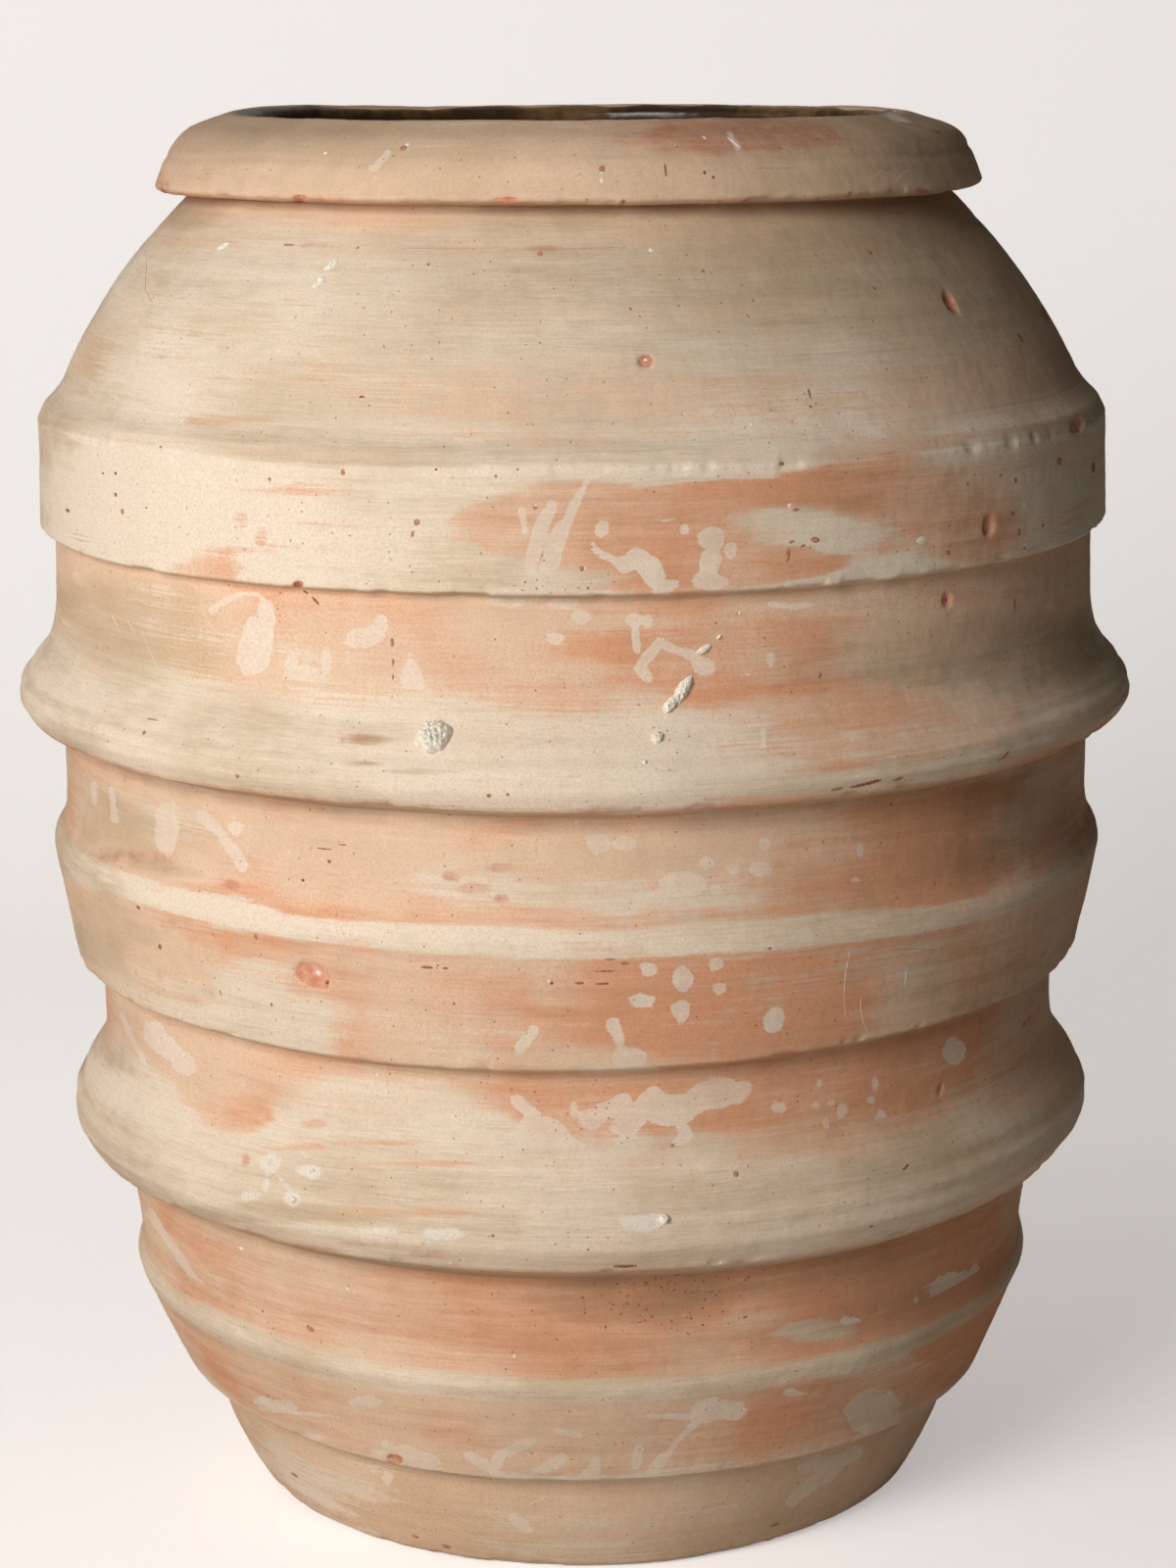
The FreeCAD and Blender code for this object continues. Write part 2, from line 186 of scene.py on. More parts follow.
def add_camera():
    data = bpy.data.cameras.new("photo_camera")
    data.sensor_width = SENSOR
    data.lens = SENSOR * FOCAL_PIXELS / PHOTO_HEIGHT
    camera = bpy.data.objects.new("photo_camera", data)
    camera.matrix_world = camera_matrix()
    bpy.context.scene.collection.objects.link(camera)
    bpy.context.scene.camera = camera


# Sections of the solids


# Points of a section are matched on a grid of this many steps to a metre
SEAM_GRID = 1e6
Stretch = namedtuple("Stretch", "start end shows")


def seam_outline(node):
    """A node's section as a loop of (radius, height) rows, from its mesh edges in the half plane x > 0.

    A solid that reaches the axis has an open chain instead of a loop, and its two ends face the axis.
    """
    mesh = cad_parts[node].data
    places = np.zeros(len(mesh.vertices) * 3)
    mesh.vertices.foreach_get("co", places)
    places = places.reshape(-1, 3)
    on_seam = (np.abs(places[:, 1]) < 1 / SEAM_GRID) & (places[:, 0] > 0)
    keys = [tuple(key) for key in np.round(places[:, [0, 2]] * SEAM_GRID).astype(int)]
    links = {}
    for edge in mesh.edges:
        first, second = edge.vertices
        if on_seam[first] and on_seam[second] and keys[first] != keys[second]:
            links.setdefault(keys[first], set()).add(keys[second])
            links.setdefault(keys[second], set()).add(keys[first])
    ends = sorted(key for key, near in links.items() if len(near) == 1)
    chain = [ends[0] if ends else min(links)]
    while True:
        onward = [key for key in sorted(links[chain[-1]]) if key not in chain[-2:] and key != chain[0]]
        if not onward or onward[0] in chain:
            break
        chain.append(onward[0])
    return np.array(chain) / SEAM_GRID, bool(ends)


def closed_outline(outline, is_open):
    """The outline with its ends drawn to the axis, if it is open."""
    if not is_open:
        return outline
    return np.vstack([outline, (0, outline[-1, 1]), (0, outline[0, 1])])


def signed_area(loop):
    after = np.roll(loop, -1, axis=0)
    return 0.5 * np.sum(loop[:, 0] * after[:, 1] - after[:, 0] * loop[:, 1])


def inside(loop, point):
    """Whether a (radius, height) point lies inside a closed loop."""
    r1, z1 = loop[:, 0], loop[:, 1]
    r2, z2 = np.roll(r1, -1), np.roll(z1, -1)
    crosses = (z1 > point[1]) != (z2 > point[1])
    rise = np.where(z2 == z1, 1, z2 - z1)
    return (crosses & (point[0] < (r2 - r1) * (point[1] - z1) / rise + r1)).sum() % 2 == 1


def sections():
    """Each node's outline, turned so that the clay is on the left, with whether it is open at the axis."""
    found = {}
    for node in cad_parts:
        outline, is_open = seam_outline(node)
        if signed_area(closed_outline(outline, is_open)) < 0:
            outline = outline[::-1].copy()
        found[node] = (outline, is_open)
    return found


SECTIONS = sections()
LOOPS = {node: closed_outline(*section) for node, section in SECTIONS.items()}


def is_covered(node, start, end):
    """Whether another piece lies against the stretch of a node's outline from start to end."""
    run = end - start
    outward = np.array((run[1], -run[0])) / np.linalg.norm(run)
    probe = (start + end) / 2 + outward * COVER_PROBE
    return any(inside(loop, probe) for other, loop in LOOPS.items() if other != node)


def stretches(node):
    """The stretches of a node's outline in order, each with whether it shows."""
    outline, is_open = SECTIONS[node]
    pairs = zip(outline, outline[1:]) if is_open else zip(outline, np.roll(outline, -1, axis=0))
    return [Stretch(start, end, not is_covered(node, start, end)) for start, end in pairs]


def divided(start, end, step):
    """Points from start, every step at most, up to but without end."""
    cuts = max(1, math.ceil(np.linalg.norm(end - start) / step))
    return [start + (end - start) * cut / cuts for cut in range(cuts)]


# The outer skin: one outline for the whole jar, from the floor over the bands to the mouth

# How far along the skin the top of each band is smoothed into the wall above it
BAND_TOPS = {
    "foot_belt": 7 * MM,
    "lower_roll": 10 * MM,
    "middle_belt": 7 * MM,
    "upper_roll": 10 * MM,
    "shoulder_belt": 5 * MM,
}
ARRIS_PASSES = 2
BAND_TOP_PASSES = 24


def bare_and_covered(node):
    """The run of a node's outline that shows, and the corners of the run that other pieces cover."""
    runs, is_open = stretches(node), SECTIONS[node][1]
    first = next(
        index for index, run in enumerate(runs)
        if run.shows and (not runs[index - 1].shows or (is_open and index == 0))
    )
    runs = runs[first:] + runs[:first]
    bare = [run for run in runs if run.shows]
    covered = [run for run in runs if not run.shows]
    corners = [run.end for run in covered] if is_open else [run.start for run in covered[1:]]
    return np.array([bare[0].start] + [run.end for run in bare]), np.array(corners)


def eased(points, share, passes):
    """Points moved towards the middle of their neighbours, each by its own share, with both ends kept."""
    points = points.copy()
    for _ in range(passes):
        middle = (points[:-2] + points[2:]) / 2
        points[1:-1] += 0.5 * share[1:-1, None] * (middle - points[1:-1])
    return points


def arc_lengths(points):
    return np.concatenate([[0], np.cumsum(np.linalg.norm(np.diff(points, axis=0), axis=1))])


def outer_skin():
    """The skin's points from the floor to the mouth, the span of each piece in them, and hidden corners."""
    points, spans, hidden = [], {}, {}
    for node in CLAY_NODES:
        bare, hidden[node] = bare_and_covered(node)
        first = len(points)
        for start, end in zip(bare, bare[1:]):
            points += divided(start, end, ROW_STEP)
        # The next piece starts with the point where this one ends
        spans[node] = slice(first, len(points) + 1)
        last = bare[-1]
    points = np.array(points + [last])
    arc = arc_lengths(points)
    softness = np.zeros(len(points))
    for node, reach in BAND_TOPS.items():
        softness = np.maximum(softness, bell(arc - arc[spans[node].stop - 1], reach))
    points = eased(points, np.ones(len(points)), ARRIS_PASSES)
    return eased(points, softness, BAND_TOP_PASSES), spans, hidden


SKIN, SPANS, HIDDEN = outer_skin()
# Heights at which a belt, a roll or the collar stands out over the wall below it
BAND_FEET = [SKIN[SPANS[node].start, 1] for node in (*BAND_TOPS, "collar")]


def outward_of(points):
    """Unit directions out of an outline that has its clay on the left."""
    along = np.gradient(points, axis=0)
    outward = np.stack([along[:, 1], -along[:, 0]], axis=1)
    return outward / np.linalg.norm(outward, axis=1, keepdims=True)


SKIN_OUTWARD = outward_of(SKIN)
Rows = namedtuple("Rows", "points outward bare is_open")


def clay_rows(node):
    """A clay piece's outline: the skin where it shows, and its solid's corners where it doesn't."""
    skin, hidden = SKIN[SPANS[node]], HIDDEN[node]
    outward = np.vstack([SKIN_OUTWARD[SPANS[node]], np.zeros_like(hidden)])
    bare = np.arange(len(skin) + len(hidden)) < len(skin)
    return Rows(np.vstack([skin, hidden]), outward, bare, SECTIONS[node][1])


def lining_rows():
    """The lining's outline, with points every step where it shows."""
    points, bare = [], []
    for start, end, shows in stretches("glaze_lining"):
        added = divided(start, end, LINING_ROW_STEP) if shows else [start]
        points += added
        bare += [shows] * len(added)
    points.append(SECTIONS["glaze_lining"][0][-1])
    bare.append(bare[-1])
    points = np.array(points)
    return Rows(points, outward_of(points), np.array(bare), True)


# The errors of a jar built by hand: its lean, its uneven rings and its slumps

LEAN_AT_BASE = 2.5 * MM
LEAN_AT_TOP = -3.0 * MM
# Rings wander less below this height, and not at all at the floor
STEADY_FOOT = 0.06
RING_WANDER = Field(1.3, 5, 11, 2, 1.6 * MM)
ROUNDNESS_ERROR = Field(1.04, 4, 23, 2, 1.2 * MM)
# Where a slump is and how far it goes round, in degrees, and how far the clay there rises and swells
Slump = namedtuple("Slump", "angle height wide tall rise swell")
SLUMPS = (
    Slump(78, 0.372, 34, 0.030, 8 * MM, 0), Slump(-70, 0.080, 30, 0.025, 4 * MM, 0),
    Slump(75, 0.290, 40, 0.030, 0, 3 * MM), Slump(-78, 0.800, 40, 0.060, 0, 2.5 * MM),
    Slump(-88, 0.530, 35, 0.014, 4 * MM, 0), Slump(88, 0.530, 35, 0.014, 5 * MM, 0),
    Slump(88, 0.242, 35, 0.014, 5 * MM, 0), Slump(88, 0.655, 30, 0.012, 4 * MM, 0),
    Slump(-90, 0.910, 55, 0.012, 0, 4 * MM), Slump(90, 0.910, 55, 0.012, 0, 6 * MM),
    Slump(-114, 0.915, 28, 0.025, 4 * MM, 0), Slump(38, 0.450, 22, 0.020, -6 * MM, 0),
    Slump(38, 0.362, 22, 0.015, 3 * MM, 0), Slump(150, 0.560, 35, 0.040, -4 * MM, 1.5 * MM),
    Slump(-150, 0.250, 30, 0.040, 3 * MM, -1.5 * MM),
)


def on_axis(angle, radius, height):
    """Points of the true jar. Angle 0 faces the camera, and positive angles are to its right."""
    return np.stack([radius * np.sin(angle), -radius * np.cos(angle), height], axis=-1)


def bent(angle, radius, height):
    """Points of the jar as it stands, with its lean, its uneven rings and its slumps."""
    ring = np.stack([np.sin(angle), np.cos(angle), height], axis=-1)
    rise = scattered(ring, RING_WANDER) * smooth(0, STEADY_FOOT, height)
    swell = scattered(ring, ROUNDNESS_ERROR)
    for slump in SLUMPS:
        turn = turn_from(angle, math.radians(slump.angle))
        share = bell(turn, math.radians(slump.wide)) * bell(height - slump.height, slump.tall)
        rise = rise + slump.rise * share
        swell = swell + slump.swell * share
    placed = on_axis(angle, radius + swell, np.maximum(height + rise, 0))
    placed[..., 0] += LEAN_AT_BASE + (LEAN_AT_TOP - LEAN_AT_BASE) * height / CAD_BOX[1].z
    return placed


# Marks seen in the photograph, in its pixels

Dab = namedtuple("Dab", "x y wide tall tilt", defaults=(0,))
Stroke = namedtuple("Stroke", "wide points")
Wash = namedtuple("Wash", "x y wide tall amount")
# A mark's field runs from 0 to 1 over twice this many pixels
MARK_EDGE = 4
# The edges of marks wobble, by pixels, and of those narrower than STEADY_WIDTH by less
MARK_WOBBLE = Field(80, 80, 71, 3, 3.6)
STEADY_WIDTH = 18
# A wash is whole up to the first share of its half size, and gone from the second on
WASH_SHARES = (0.35, 1.2)
WASH_RAGS = Field(9, 45, 73, 4, 0.45)

# Thin pale splashes with a clean edge
SPLASHES = {
    "collar": (Stroke(7, ((396, 156), (384, 169))), Dab(381, 171, 12, 8)),
    "shoulder_belt": (
        Stroke(8, ((601, 488), (586, 516), (577, 537))), Stroke(16, ((574, 540), (563, 567), (555, 593))),
        Stroke(13, ((563, 516), (555, 532), (547, 555), (540, 583))), Stroke(7, ((532, 521), (536, 542))),
        Dab(613, 541, 20, 21), Stroke(8, ((605, 557), (614, 565), (627, 571))),
        Stroke(18, ((634, 575), (650, 568), (662, 578), (670, 590))), Dab(724, 550, 28, 26),
        Dab(724, 573, 23, 28), Dab(746, 562, 13, 16), Dab(727, 593, 34, 16), Dab(699, 540, 10, 8),
        Dab(678, 532, 14, 4, -15), Dab(683, 598, 31, 15, -20), Dab(609, 606, 58, 8), Dab(527, 606, 48, 14),
        Dab(555, 600, 15, 11),
    ),
    "upper_course": (
        Dab(527, 613, 46, 12), Dab(573, 616, 40, 12), Dab(593, 629, 18, 14), Dab(567, 652, 20, 12),
        Dab(647, 633, 20, 16), Dab(660, 634, 9, 12), Stroke(7, ((648, 640), (650, 662))),
        Stroke(9, ((673, 655), (652, 682), (662, 692))), Stroke(9, ((673, 655), (700, 668), (722, 678))),
        Dab(719, 680, 26, 17), Stroke(6, ((786, 616), (808, 619), (829, 617))), Dab(787, 674, 9, 14),
        Dab(761, 688, 16, 6), Dab(270, 624, 17, 26), Stroke(34, ((264, 644), (259, 668))),
        Stroke(6, ((217, 622), (232, 612), (246, 606), (262, 607), (276, 618), (279, 634))),
        Dab(311, 698, 48, 34), Dab(298, 675, 11, 20), Dab(334, 678, 12, 28), Dab(372, 649, 50, 20, -15),
        Dab(391, 635, 15, 17), Dab(419, 692, 22, 54), Stroke(5, ((223, 691), (222, 715))),
        Stroke(5, ((251, 687), (251, 718))), Stroke(4, ((232, 690), (230, 704))),
    ),
    "high_belly_course": (
        Dab(169, 846, 27, 58), Stroke(11, ((206, 833), (224, 848), (247, 882))), Dab(239, 845, 18, 12),
        Stroke(7, ((114, 806), (117, 836))), Stroke(5, ((96, 800), (97, 818))), Dab(451, 922, 56, 26),
        Dab(558, 931, 58, 18), Dab(612, 861, 24, 18), Dab(637, 861, 30, 16), Dab(668, 923, 84, 34),
        Dab(700, 905, 50, 26), Dab(721, 881, 18, 14), Dab(729, 909, 14, 14), Dab(748, 888, 15, 18),
        Dab(774, 887, 26, 14), Dab(780, 862, 10, 10), Dab(877, 868, 8, 14), Dab(872, 901, 12, 13),
        Dab(890, 903, 12, 11), Dab(845, 921, 10, 12),
    ),
    "middle_belt": (
        Dab(697, 997, 18, 22), Dab(730, 985, 16, 15), Dab(734, 1010, 16, 18, 30), Dab(664, 991, 18, 16),
        Dab(655, 1021, 23, 16), Dab(695, 1033, 20, 18), Dab(788, 1042, 26, 33, 35),
        Stroke(12, ((625, 1045), (633, 1062))), Dab(640, 1080, 36, 26),
        Stroke(7, ((596, 1093), (668, 1092))), Stroke(9, ((545, 1052), (530, 1069))),
    ),
    "low_belly_course": (
        Stroke(14, ((528, 1125), (545, 1141))), Dab(554, 1160, 66, 40, 10), Dab(584, 1169, 32, 18, 15),
        Stroke(20, ((638, 1125), (600, 1141))), Dab(586, 1132, 8, 17),
        Stroke(26, ((636, 1150), (667, 1121))), Dab(690, 1130, 82, 34, -8), Dab(730, 1115, 72, 32, -12),
        Dab(758, 1108, 26, 16), Stroke(10, ((694, 1146), (702, 1158), (690, 1169))), Dab(836, 1106, 8, 11),
        Dab(848, 1125, 8, 9), Dab(832, 1127, 8, 11, -30), Dab(859, 1134, 10, 14, 20),
        Dab(843, 1147, 8, 12), Dab(893, 1107, 9, 21), Dab(889, 1122, 12, 12), Dab(899, 1140, 10, 14),
        Dab(870, 1151, 9, 12), Dab(794, 1131, 14, 10), Dab(972, 1072, 22, 26),
        Stroke(6, ((124, 1036), (133, 1058), (146, 1082))),
        Stroke(22, ((158, 1054), (172, 1070), (188, 1086))),
    ),
    "lower_course": (
        Stroke(8, ((152, 1238), (177, 1274), (201, 1309))), Dab(204, 1312, 14, 14), Dab(868, 1349, 22, 12),
        Dab(971, 1309, 60, 18, -25),
    ),
    "foot_belt": (
        Dab(418, 1489, 66, 24, 12), Stroke(9, ((393, 1474), (410, 1484))),
        Stroke(9, ((544, 1471), (525, 1477), (509, 1485), (506, 1494))),
        Stroke(8, ((478, 1485), (497, 1496), (511, 1507))), Stroke(12, ((573, 1489), (548, 1504))),
        Stroke(13, ((608, 1490), (601, 1504))), Stroke(9, ((652, 1479), (648, 1496))),
        Stroke(10, ((676, 1489), (665, 1502))),
        Stroke(7, ((712, 1449), (699, 1462), (686, 1477), (676, 1494))),
        Stroke(6, ((505, 1508), (600, 1510), (692, 1507))), Dab(318, 1467, 17, 8), Dab(732, 1439, 52, 26),
        Dab(686, 1446, 64, 6), Dab(891, 1442, 56, 48), Dab(769, 1495, 10, 7), Dab(812, 1421, 28, 9),
        Dab(374, 1431, 28, 12), Dab(579, 1462, 36, 6, 10), Dab(284, 1433, 54, 11, 8),
        Dab(300, 1441, 84, 4, 6),
    ),
    "foot_course": (
        Dab(395, 1507, 12, 15), Dab(336, 1510, 8, 8), Dab(530, 1553, 24, 10, 30),
        Stroke(13, ((874, 1483), (840, 1506), (808, 1533))), Dab(842, 1492, 42, 16, -15),
    ),
}

# Chalky white splashes, mostly of lime round specks of mortar; on the collar also a painted reflection and a
# painted highlight on the glaze at the mouth's ends
CHALK_AND_GLINTS = {
    # The dab at 915, 121 is a painted reflection on the glaze run, and the dab at 270, 116 a painted
    # highlight on the glaze
    "collar": (Stroke(5, ((744, 137), (753, 151))), Dab(915, 121, 32, 8, 22), Dab(270, 116, 12, 7)),
    "upper_roll": (Stroke(5, ((779, 744), (779, 761))),),
    "lower_roll": (
        Dab(656, 1247, 50, 22), Dab(447, 1259, 46, 11), Dab(385, 1256, 32, 9), Dab(275, 1187, 24, 21),
        Dab(316, 1194, 24, 13), Dab(299, 1224, 18, 18), Dab(271, 1208, 7, 13), Dab(255, 1221, 19, 8),
        Stroke(4, ((283, 1199), (296, 1214))),
    ),
}

# Soft changes of tone, by piece and channel, each as the values of a Wash. Towards the right side the
# darkening washes are painted shade over the olive film there, and the warm washes are partly the clay's own
# orange and partly the painted warmth of shade.
WASHES = {
    "collar": {
        "rust": (
            (745, 136, 360, 60, 0.75), (518, 203, 60, 16, 0.5), (330, 203, 60, 14, 0.4),
            (165, 186, 14, 26, 0.6),
        ),
        "slip": ((745, 138, 340, 60, -0.35),),
        "grime_and_shade": ((940, 150, 150, 70, 0.16), (800, 180, 260, 50, 0.16), (250, 146, 160, 30, 0.06)),
    },
    "shoulder_course": {
        "slip": (
            (198, 432, 120, 30, -0.5), (250, 428, 90, 14, -0.4), (445, 457, 90, 12, -0.4),
            (560, 452, 240, 14, -0.25), (860, 330, 320, 160, 0.1),
        ),
        "rust": ((560, 253, 190, 7, 0.5), (320, 250, 40, 5, 0.6)),
        "grime_and_shade": ((900, 236, 260, 50, 0.1), (190, 222, 70, 40, 0.2)),
    },
    "shoulder_belt": {
        "slip": (
            (660, 548, 330, 160, -0.75), (760, 545, 280, 130, -0.35), (545, 535, 170, 90, -0.5),
            (525, 550, 90, 40, -0.45), (478, 548, 80, 20, -0.3), (290, 500, 260, 20, -0.3),
            (330, 560, 260, 18, -0.25), (380, 535, 200, 14, -0.25), (246, 530, 20, 24, -0.4),
            (266, 549, 16, 20, -0.4), (214, 577, 80, 36, -0.4), (930, 520, 280, 150, -0.85),
        ),
        "warm": ((720, 540, 340, 160, 0.25), (930, 520, 280, 150, 0.3)),
        "grime_and_shade": ((930, 510, 300, 150, 0.12), (50, 480, 70, 150, 0.12)),
    },
    "upper_course": {
        "slip": (
            (160, 660, 170, 120, 0.2), (470, 640, 120, 80, -0.1), (750, 640, 260, 120, -0.65),
            (985, 672, 330, 90, 0.12),
        ),
        "warm": ((130, 650, 180, 130, -0.4), (740, 640, 330, 150, 0.45), (960, 605, 400, 30, 0.3)),
        "grime_and_shade": ((110, 655, 150, 130, 0.2), (985, 668, 320, 100, 0.28)),
    },
    "upper_roll": {
        "rust": ((365, 755, 80, 20, 0.5),),
        "slip": ((880, 740, 380, 110, -0.4), (70, 720, 120, 70, 0.2)),
        "warm": ((880, 740, 380, 110, 0.2),),
        "grime_and_shade": (
            (375, 755, 60, 14, 0.25), (370, 779, 60, 8, 0.3), (430, 787, 120, 10, 0.25),
            (60, 765, 90, 60, 0.1),
        ),
    },
    "high_belly_course": {
        "warm": (
            (130, 850, 190, 120, -0.4), (620, 870, 300, 60, -0.15), (330, 938, 230, 26, 0.22),
            (950, 860, 320, 150, 0.35),
        ),
        "grime_and_shade": (
            (100, 850, 130, 110, 0.18), (86, 852, 40, 26, 0.12), (118, 870, 56, 14, 0.14),
            (158, 882, 50, 12, 0.16), (190, 890, 40, 10, 0.12), (1040, 850, 160, 130, 0.24),
        ),
        "slip": (
            (170, 840, 130, 80, 0.15), (470, 905, 160, 50, 0.2), (640, 915, 260, 50, 0.25),
            (330, 938, 230, 26, -0.2), (300, 880, 200, 80, -0.2),
        ),
        "rust": (
            (484, 907, 36, 12, 0.6), (512, 885, 34, 10, 0.6), (461, 894, 18, 11, 0.6),
            (511, 917, 22, 10, 0.7), (135, 874, 110, 18, 0.55), (237, 903, 24, 11, 0.7),
        ),
    },
    "middle_belt": {
        "slip": (
            (600, 966, 190, 44, -0.35), (330, 960, 320, 44, -0.3), (255, 1006, 120, 60, 0.3),
            (270, 978, 150, 40, 0.12), (310, 1040, 180, 74, 0.4), (390, 1035, 60, 40, 0.2),
            (395, 998, 90, 24, -0.3), (480, 1062, 240, 40, 0.2), (620, 1030, 200, 80, -0.2),
            (935, 1000, 90, 50, 0.3),
        ),
        "warm": ((150, 980, 200, 130, -0.2), (740, 1030, 420, 150, 0.38)),
        "grime_and_shade": ((105, 960, 110, 110, 0.25), (1010, 1010, 130, 130, 0.14), (950, 1005, 130, 70, 0.18)),
        "rust": (
            (340, 1006, 60, 14, 0.35), (173, 943, 26, 20, 0.5), (163, 996, 28, 32, 0.45),
            (209, 1014, 66, 30, 0.3),
        ),
    },
    "low_belly_course": {
        "slip": (
            (390, 1130, 330, 120, 0.3), (480, 1160, 150, 60, 0.3), (645, 1166, 70, 40, 0.3),
            (215, 1105, 60, 110, -0.35), (245, 1140, 80, 40, -0.45), (320, 1147, 40, 14, -0.6),
            (385, 1166, 190, 9, -0.55), (300, 1172, 110, 8, -0.5), (810, 1130, 260, 120, -0.75),
            (1050, 1080, 150, 160, -0.5),
        ),
        "warm": (
            (245, 1135, 120, 70, 0.15), (800, 1110, 520, 150, 0.12), (810, 1130, 280, 130, 0.35),
            (1050, 1080, 150, 160, 0.2),
        ),
        "rust": ((255, 1140, 70, 36, 0.2),),
        "grime_and_shade": ((110, 1050, 110, 90, 0.22),),
    },
    "lower_roll": {
        "slip": ((441, 1236, 200, 12, -0.5), (420, 1188, 230, 10, -0.5)),
        "rust": (
            (251, 1184, 20, 26, 0.75), (262, 1256, 80, 18, 0.3), (354, 1272, 140, 13, 0.4),
            (440, 1281, 140, 13, 0.45),
        ),
        "grime_and_shade": ((110, 1150, 130, 120, 0.12), (250, 1240, 240, 20, 0.15), (960, 1190, 240, 90, 0.06)),
    },
    "lower_course": {
        "grime_and_shade": ((650, 1322, 220, 60, 0.3), (692, 1336, 90, 50, 0.15), (890, 1310, 240, 130, 0.14)),
        "slip": ((825, 1357, 110, 32, 0.5),),
        "warm": ((850, 1310, 420, 150, 0.2), (180, 1270, 120, 110, -0.15)),
    },
    "foot_belt": {
        "slip": ((430, 1442, 380, 26, -0.1), (900, 1395, 200, 30, 0.25), (606, 1456, 130, 22, -0.4)),
        "grime_and_shade": ((900, 1440, 130, 64, 0.12),),
    },
    "foot_course": {
        "slip": ((290, 1505, 220, 90, 0.2),),
    },
}

# Broken spots with a hollow, and how deep each is
Chip = namedtuple("Chip", "dab deep")
CHIPS = {
    "collar": (
        Chip(Dab(306, 203, 14, 9), 1.0 * MM), Chip(Dab(518, 204, 24, 7), 1.4 * MM),
        Chip(Dab(941, 196, 11, 7), 1.8 * MM),
    ),
    "shoulder_course": (
        Chip(Dab(659, 368, 15, 13), 1.6 * MM), Chip(Dab(970, 309, 9, 19, -25), 2.0 * MM),
        Chip(Dab(1065, 320, 8, 19, -30), 2.0 * MM),
    ),
    "shoulder_belt": (
        Chip(Dab(1009, 538, 10, 18, 12), 2.0 * MM), Chip(Dab(1100, 433, 12, 14), 2.0 * MM),
        Chip(Dab(304, 597, 11, 9), 2.0 * MM),
    ),
    "upper_course": (Chip(Dab(966, 612, 7, 12), 1.8 * MM),),
    "middle_belt": (Chip(Dab(319, 996, 38, 26, 25), 1.4 * MM),),
    "low_belly_course": (
        Chip(Dab(960, 1111, 6, 13, 20), 1.6 * MM), Chip(Dab(1052, 1036, 6, 13, 20), 1.6 * MM),
    ),
    "foot_belt": (Chip(Dab(401, 1490, 17, 10, 10), 1.4 * MM),),
}

# Specks too small for the meshes' own points: rusty pits, dark pits with one line of painted shade, and
# grains of lime
RUST_FLECKS = {
    "collar": (
        Dab(412, 151, 10, 8), Dab(614, 173, 8, 9), Dab(866, 199, 6, 7), Dab(635, 207, 6, 5),
        Dab(734, 206, 5, 4), Dab(759, 205, 6, 4), Dab(834, 203, 5, 5), Dab(938, 129, 19, 6, 35),
        Dab(795, 152, 5, 4),
    ),
    "shoulder_course": (
        Dab(551, 259, 8, 6), Dab(717, 277, 6, 5), Dab(887, 258, 6, 6), Dab(365, 253, 4, 4),
        Dab(294, 250, 14, 4), Dab(643, 315, 4, 4), Dab(768, 307, 4, 5), Dab(1041, 345, 4, 16, -35),
    ),
    "shoulder_belt": (
        Dab(804, 567, 6, 22, 8), Dab(808, 553, 9, 4, -10), Dab(832, 551, 12, 8, 20),
        Dab(819, 557, 7, 4, -20), Dab(812, 520, 10, 5), Dab(594, 580, 9, 8), Dab(546, 518, 7, 5),
        Dab(425, 533, 8, 10, 20), Dab(421, 545, 4, 9, 20), Dab(967, 564, 7, 7), Dab(1033, 524, 6, 7),
        Dab(1040, 543, 5, 9), Dab(1081, 471, 6, 11), Dab(1116, 478, 5, 14), Dab(1036, 490, 5, 6),
        Dab(1064, 536, 4, 6), Dab(1045, 560, 4, 4), Dab(1021, 485, 3, 5), Dab(987, 494, 4, 5),
        Dab(796, 473, 8, 4), Dab(275, 489, 4, 6), Dab(350, 482, 6, 9), Dab(125, 522, 4, 8),
        Dab(506, 486, 4, 4), Dab(536, 594, 4, 4),
    ),
    "upper_course": (
        Dab(400, 655, 5, 14), Dab(401, 676, 4, 10), Dab(401, 691, 3, 8), Dab(836, 689, 7, 10),
        Dab(286, 605, 4, 4),
    ),
    "upper_roll": (
        Dab(147, 748, 5, 7), Dab(499, 812, 7, 5), Dab(518, 811, 5, 4), Dab(854, 805, 15, 4, -8),
        Dab(916, 795, 15, 5, -10), Dab(242, 792, 6, 5), Dab(1024, 772, 12, 5, -30),
    ),
    "middle_belt": (
        Dab(261, 956, 5, 8), Dab(277, 1025, 4, 5), Dab(622, 979, 15, 3), Dab(637, 983, 13, 4),
        Dab(785, 968, 6, 4), Dab(463, 1024, 4, 4), Dab(710, 1038, 4, 4),
    ),
    "low_belly_course": (Dab(1045, 1045, 4, 8, 20), Dab(522, 1111, 4, 4)),
    "lower_roll": (
        Dab(751, 1198, 8, 8), Dab(686, 1169, 6, 5), Dab(503, 1261, 6, 5), Dab(889, 1251, 5, 5),
    ),
    "lower_course": (Dab(317, 1356, 12, 8, 20), Dab(268, 1338, 3, 4)),
    "foot_course": (
        Dab(300, 1505, 9, 4), Dab(455, 1578, 10, 5), Dab(424, 1568, 8, 4), Dab(790, 1556, 12, 5),
    ),
}
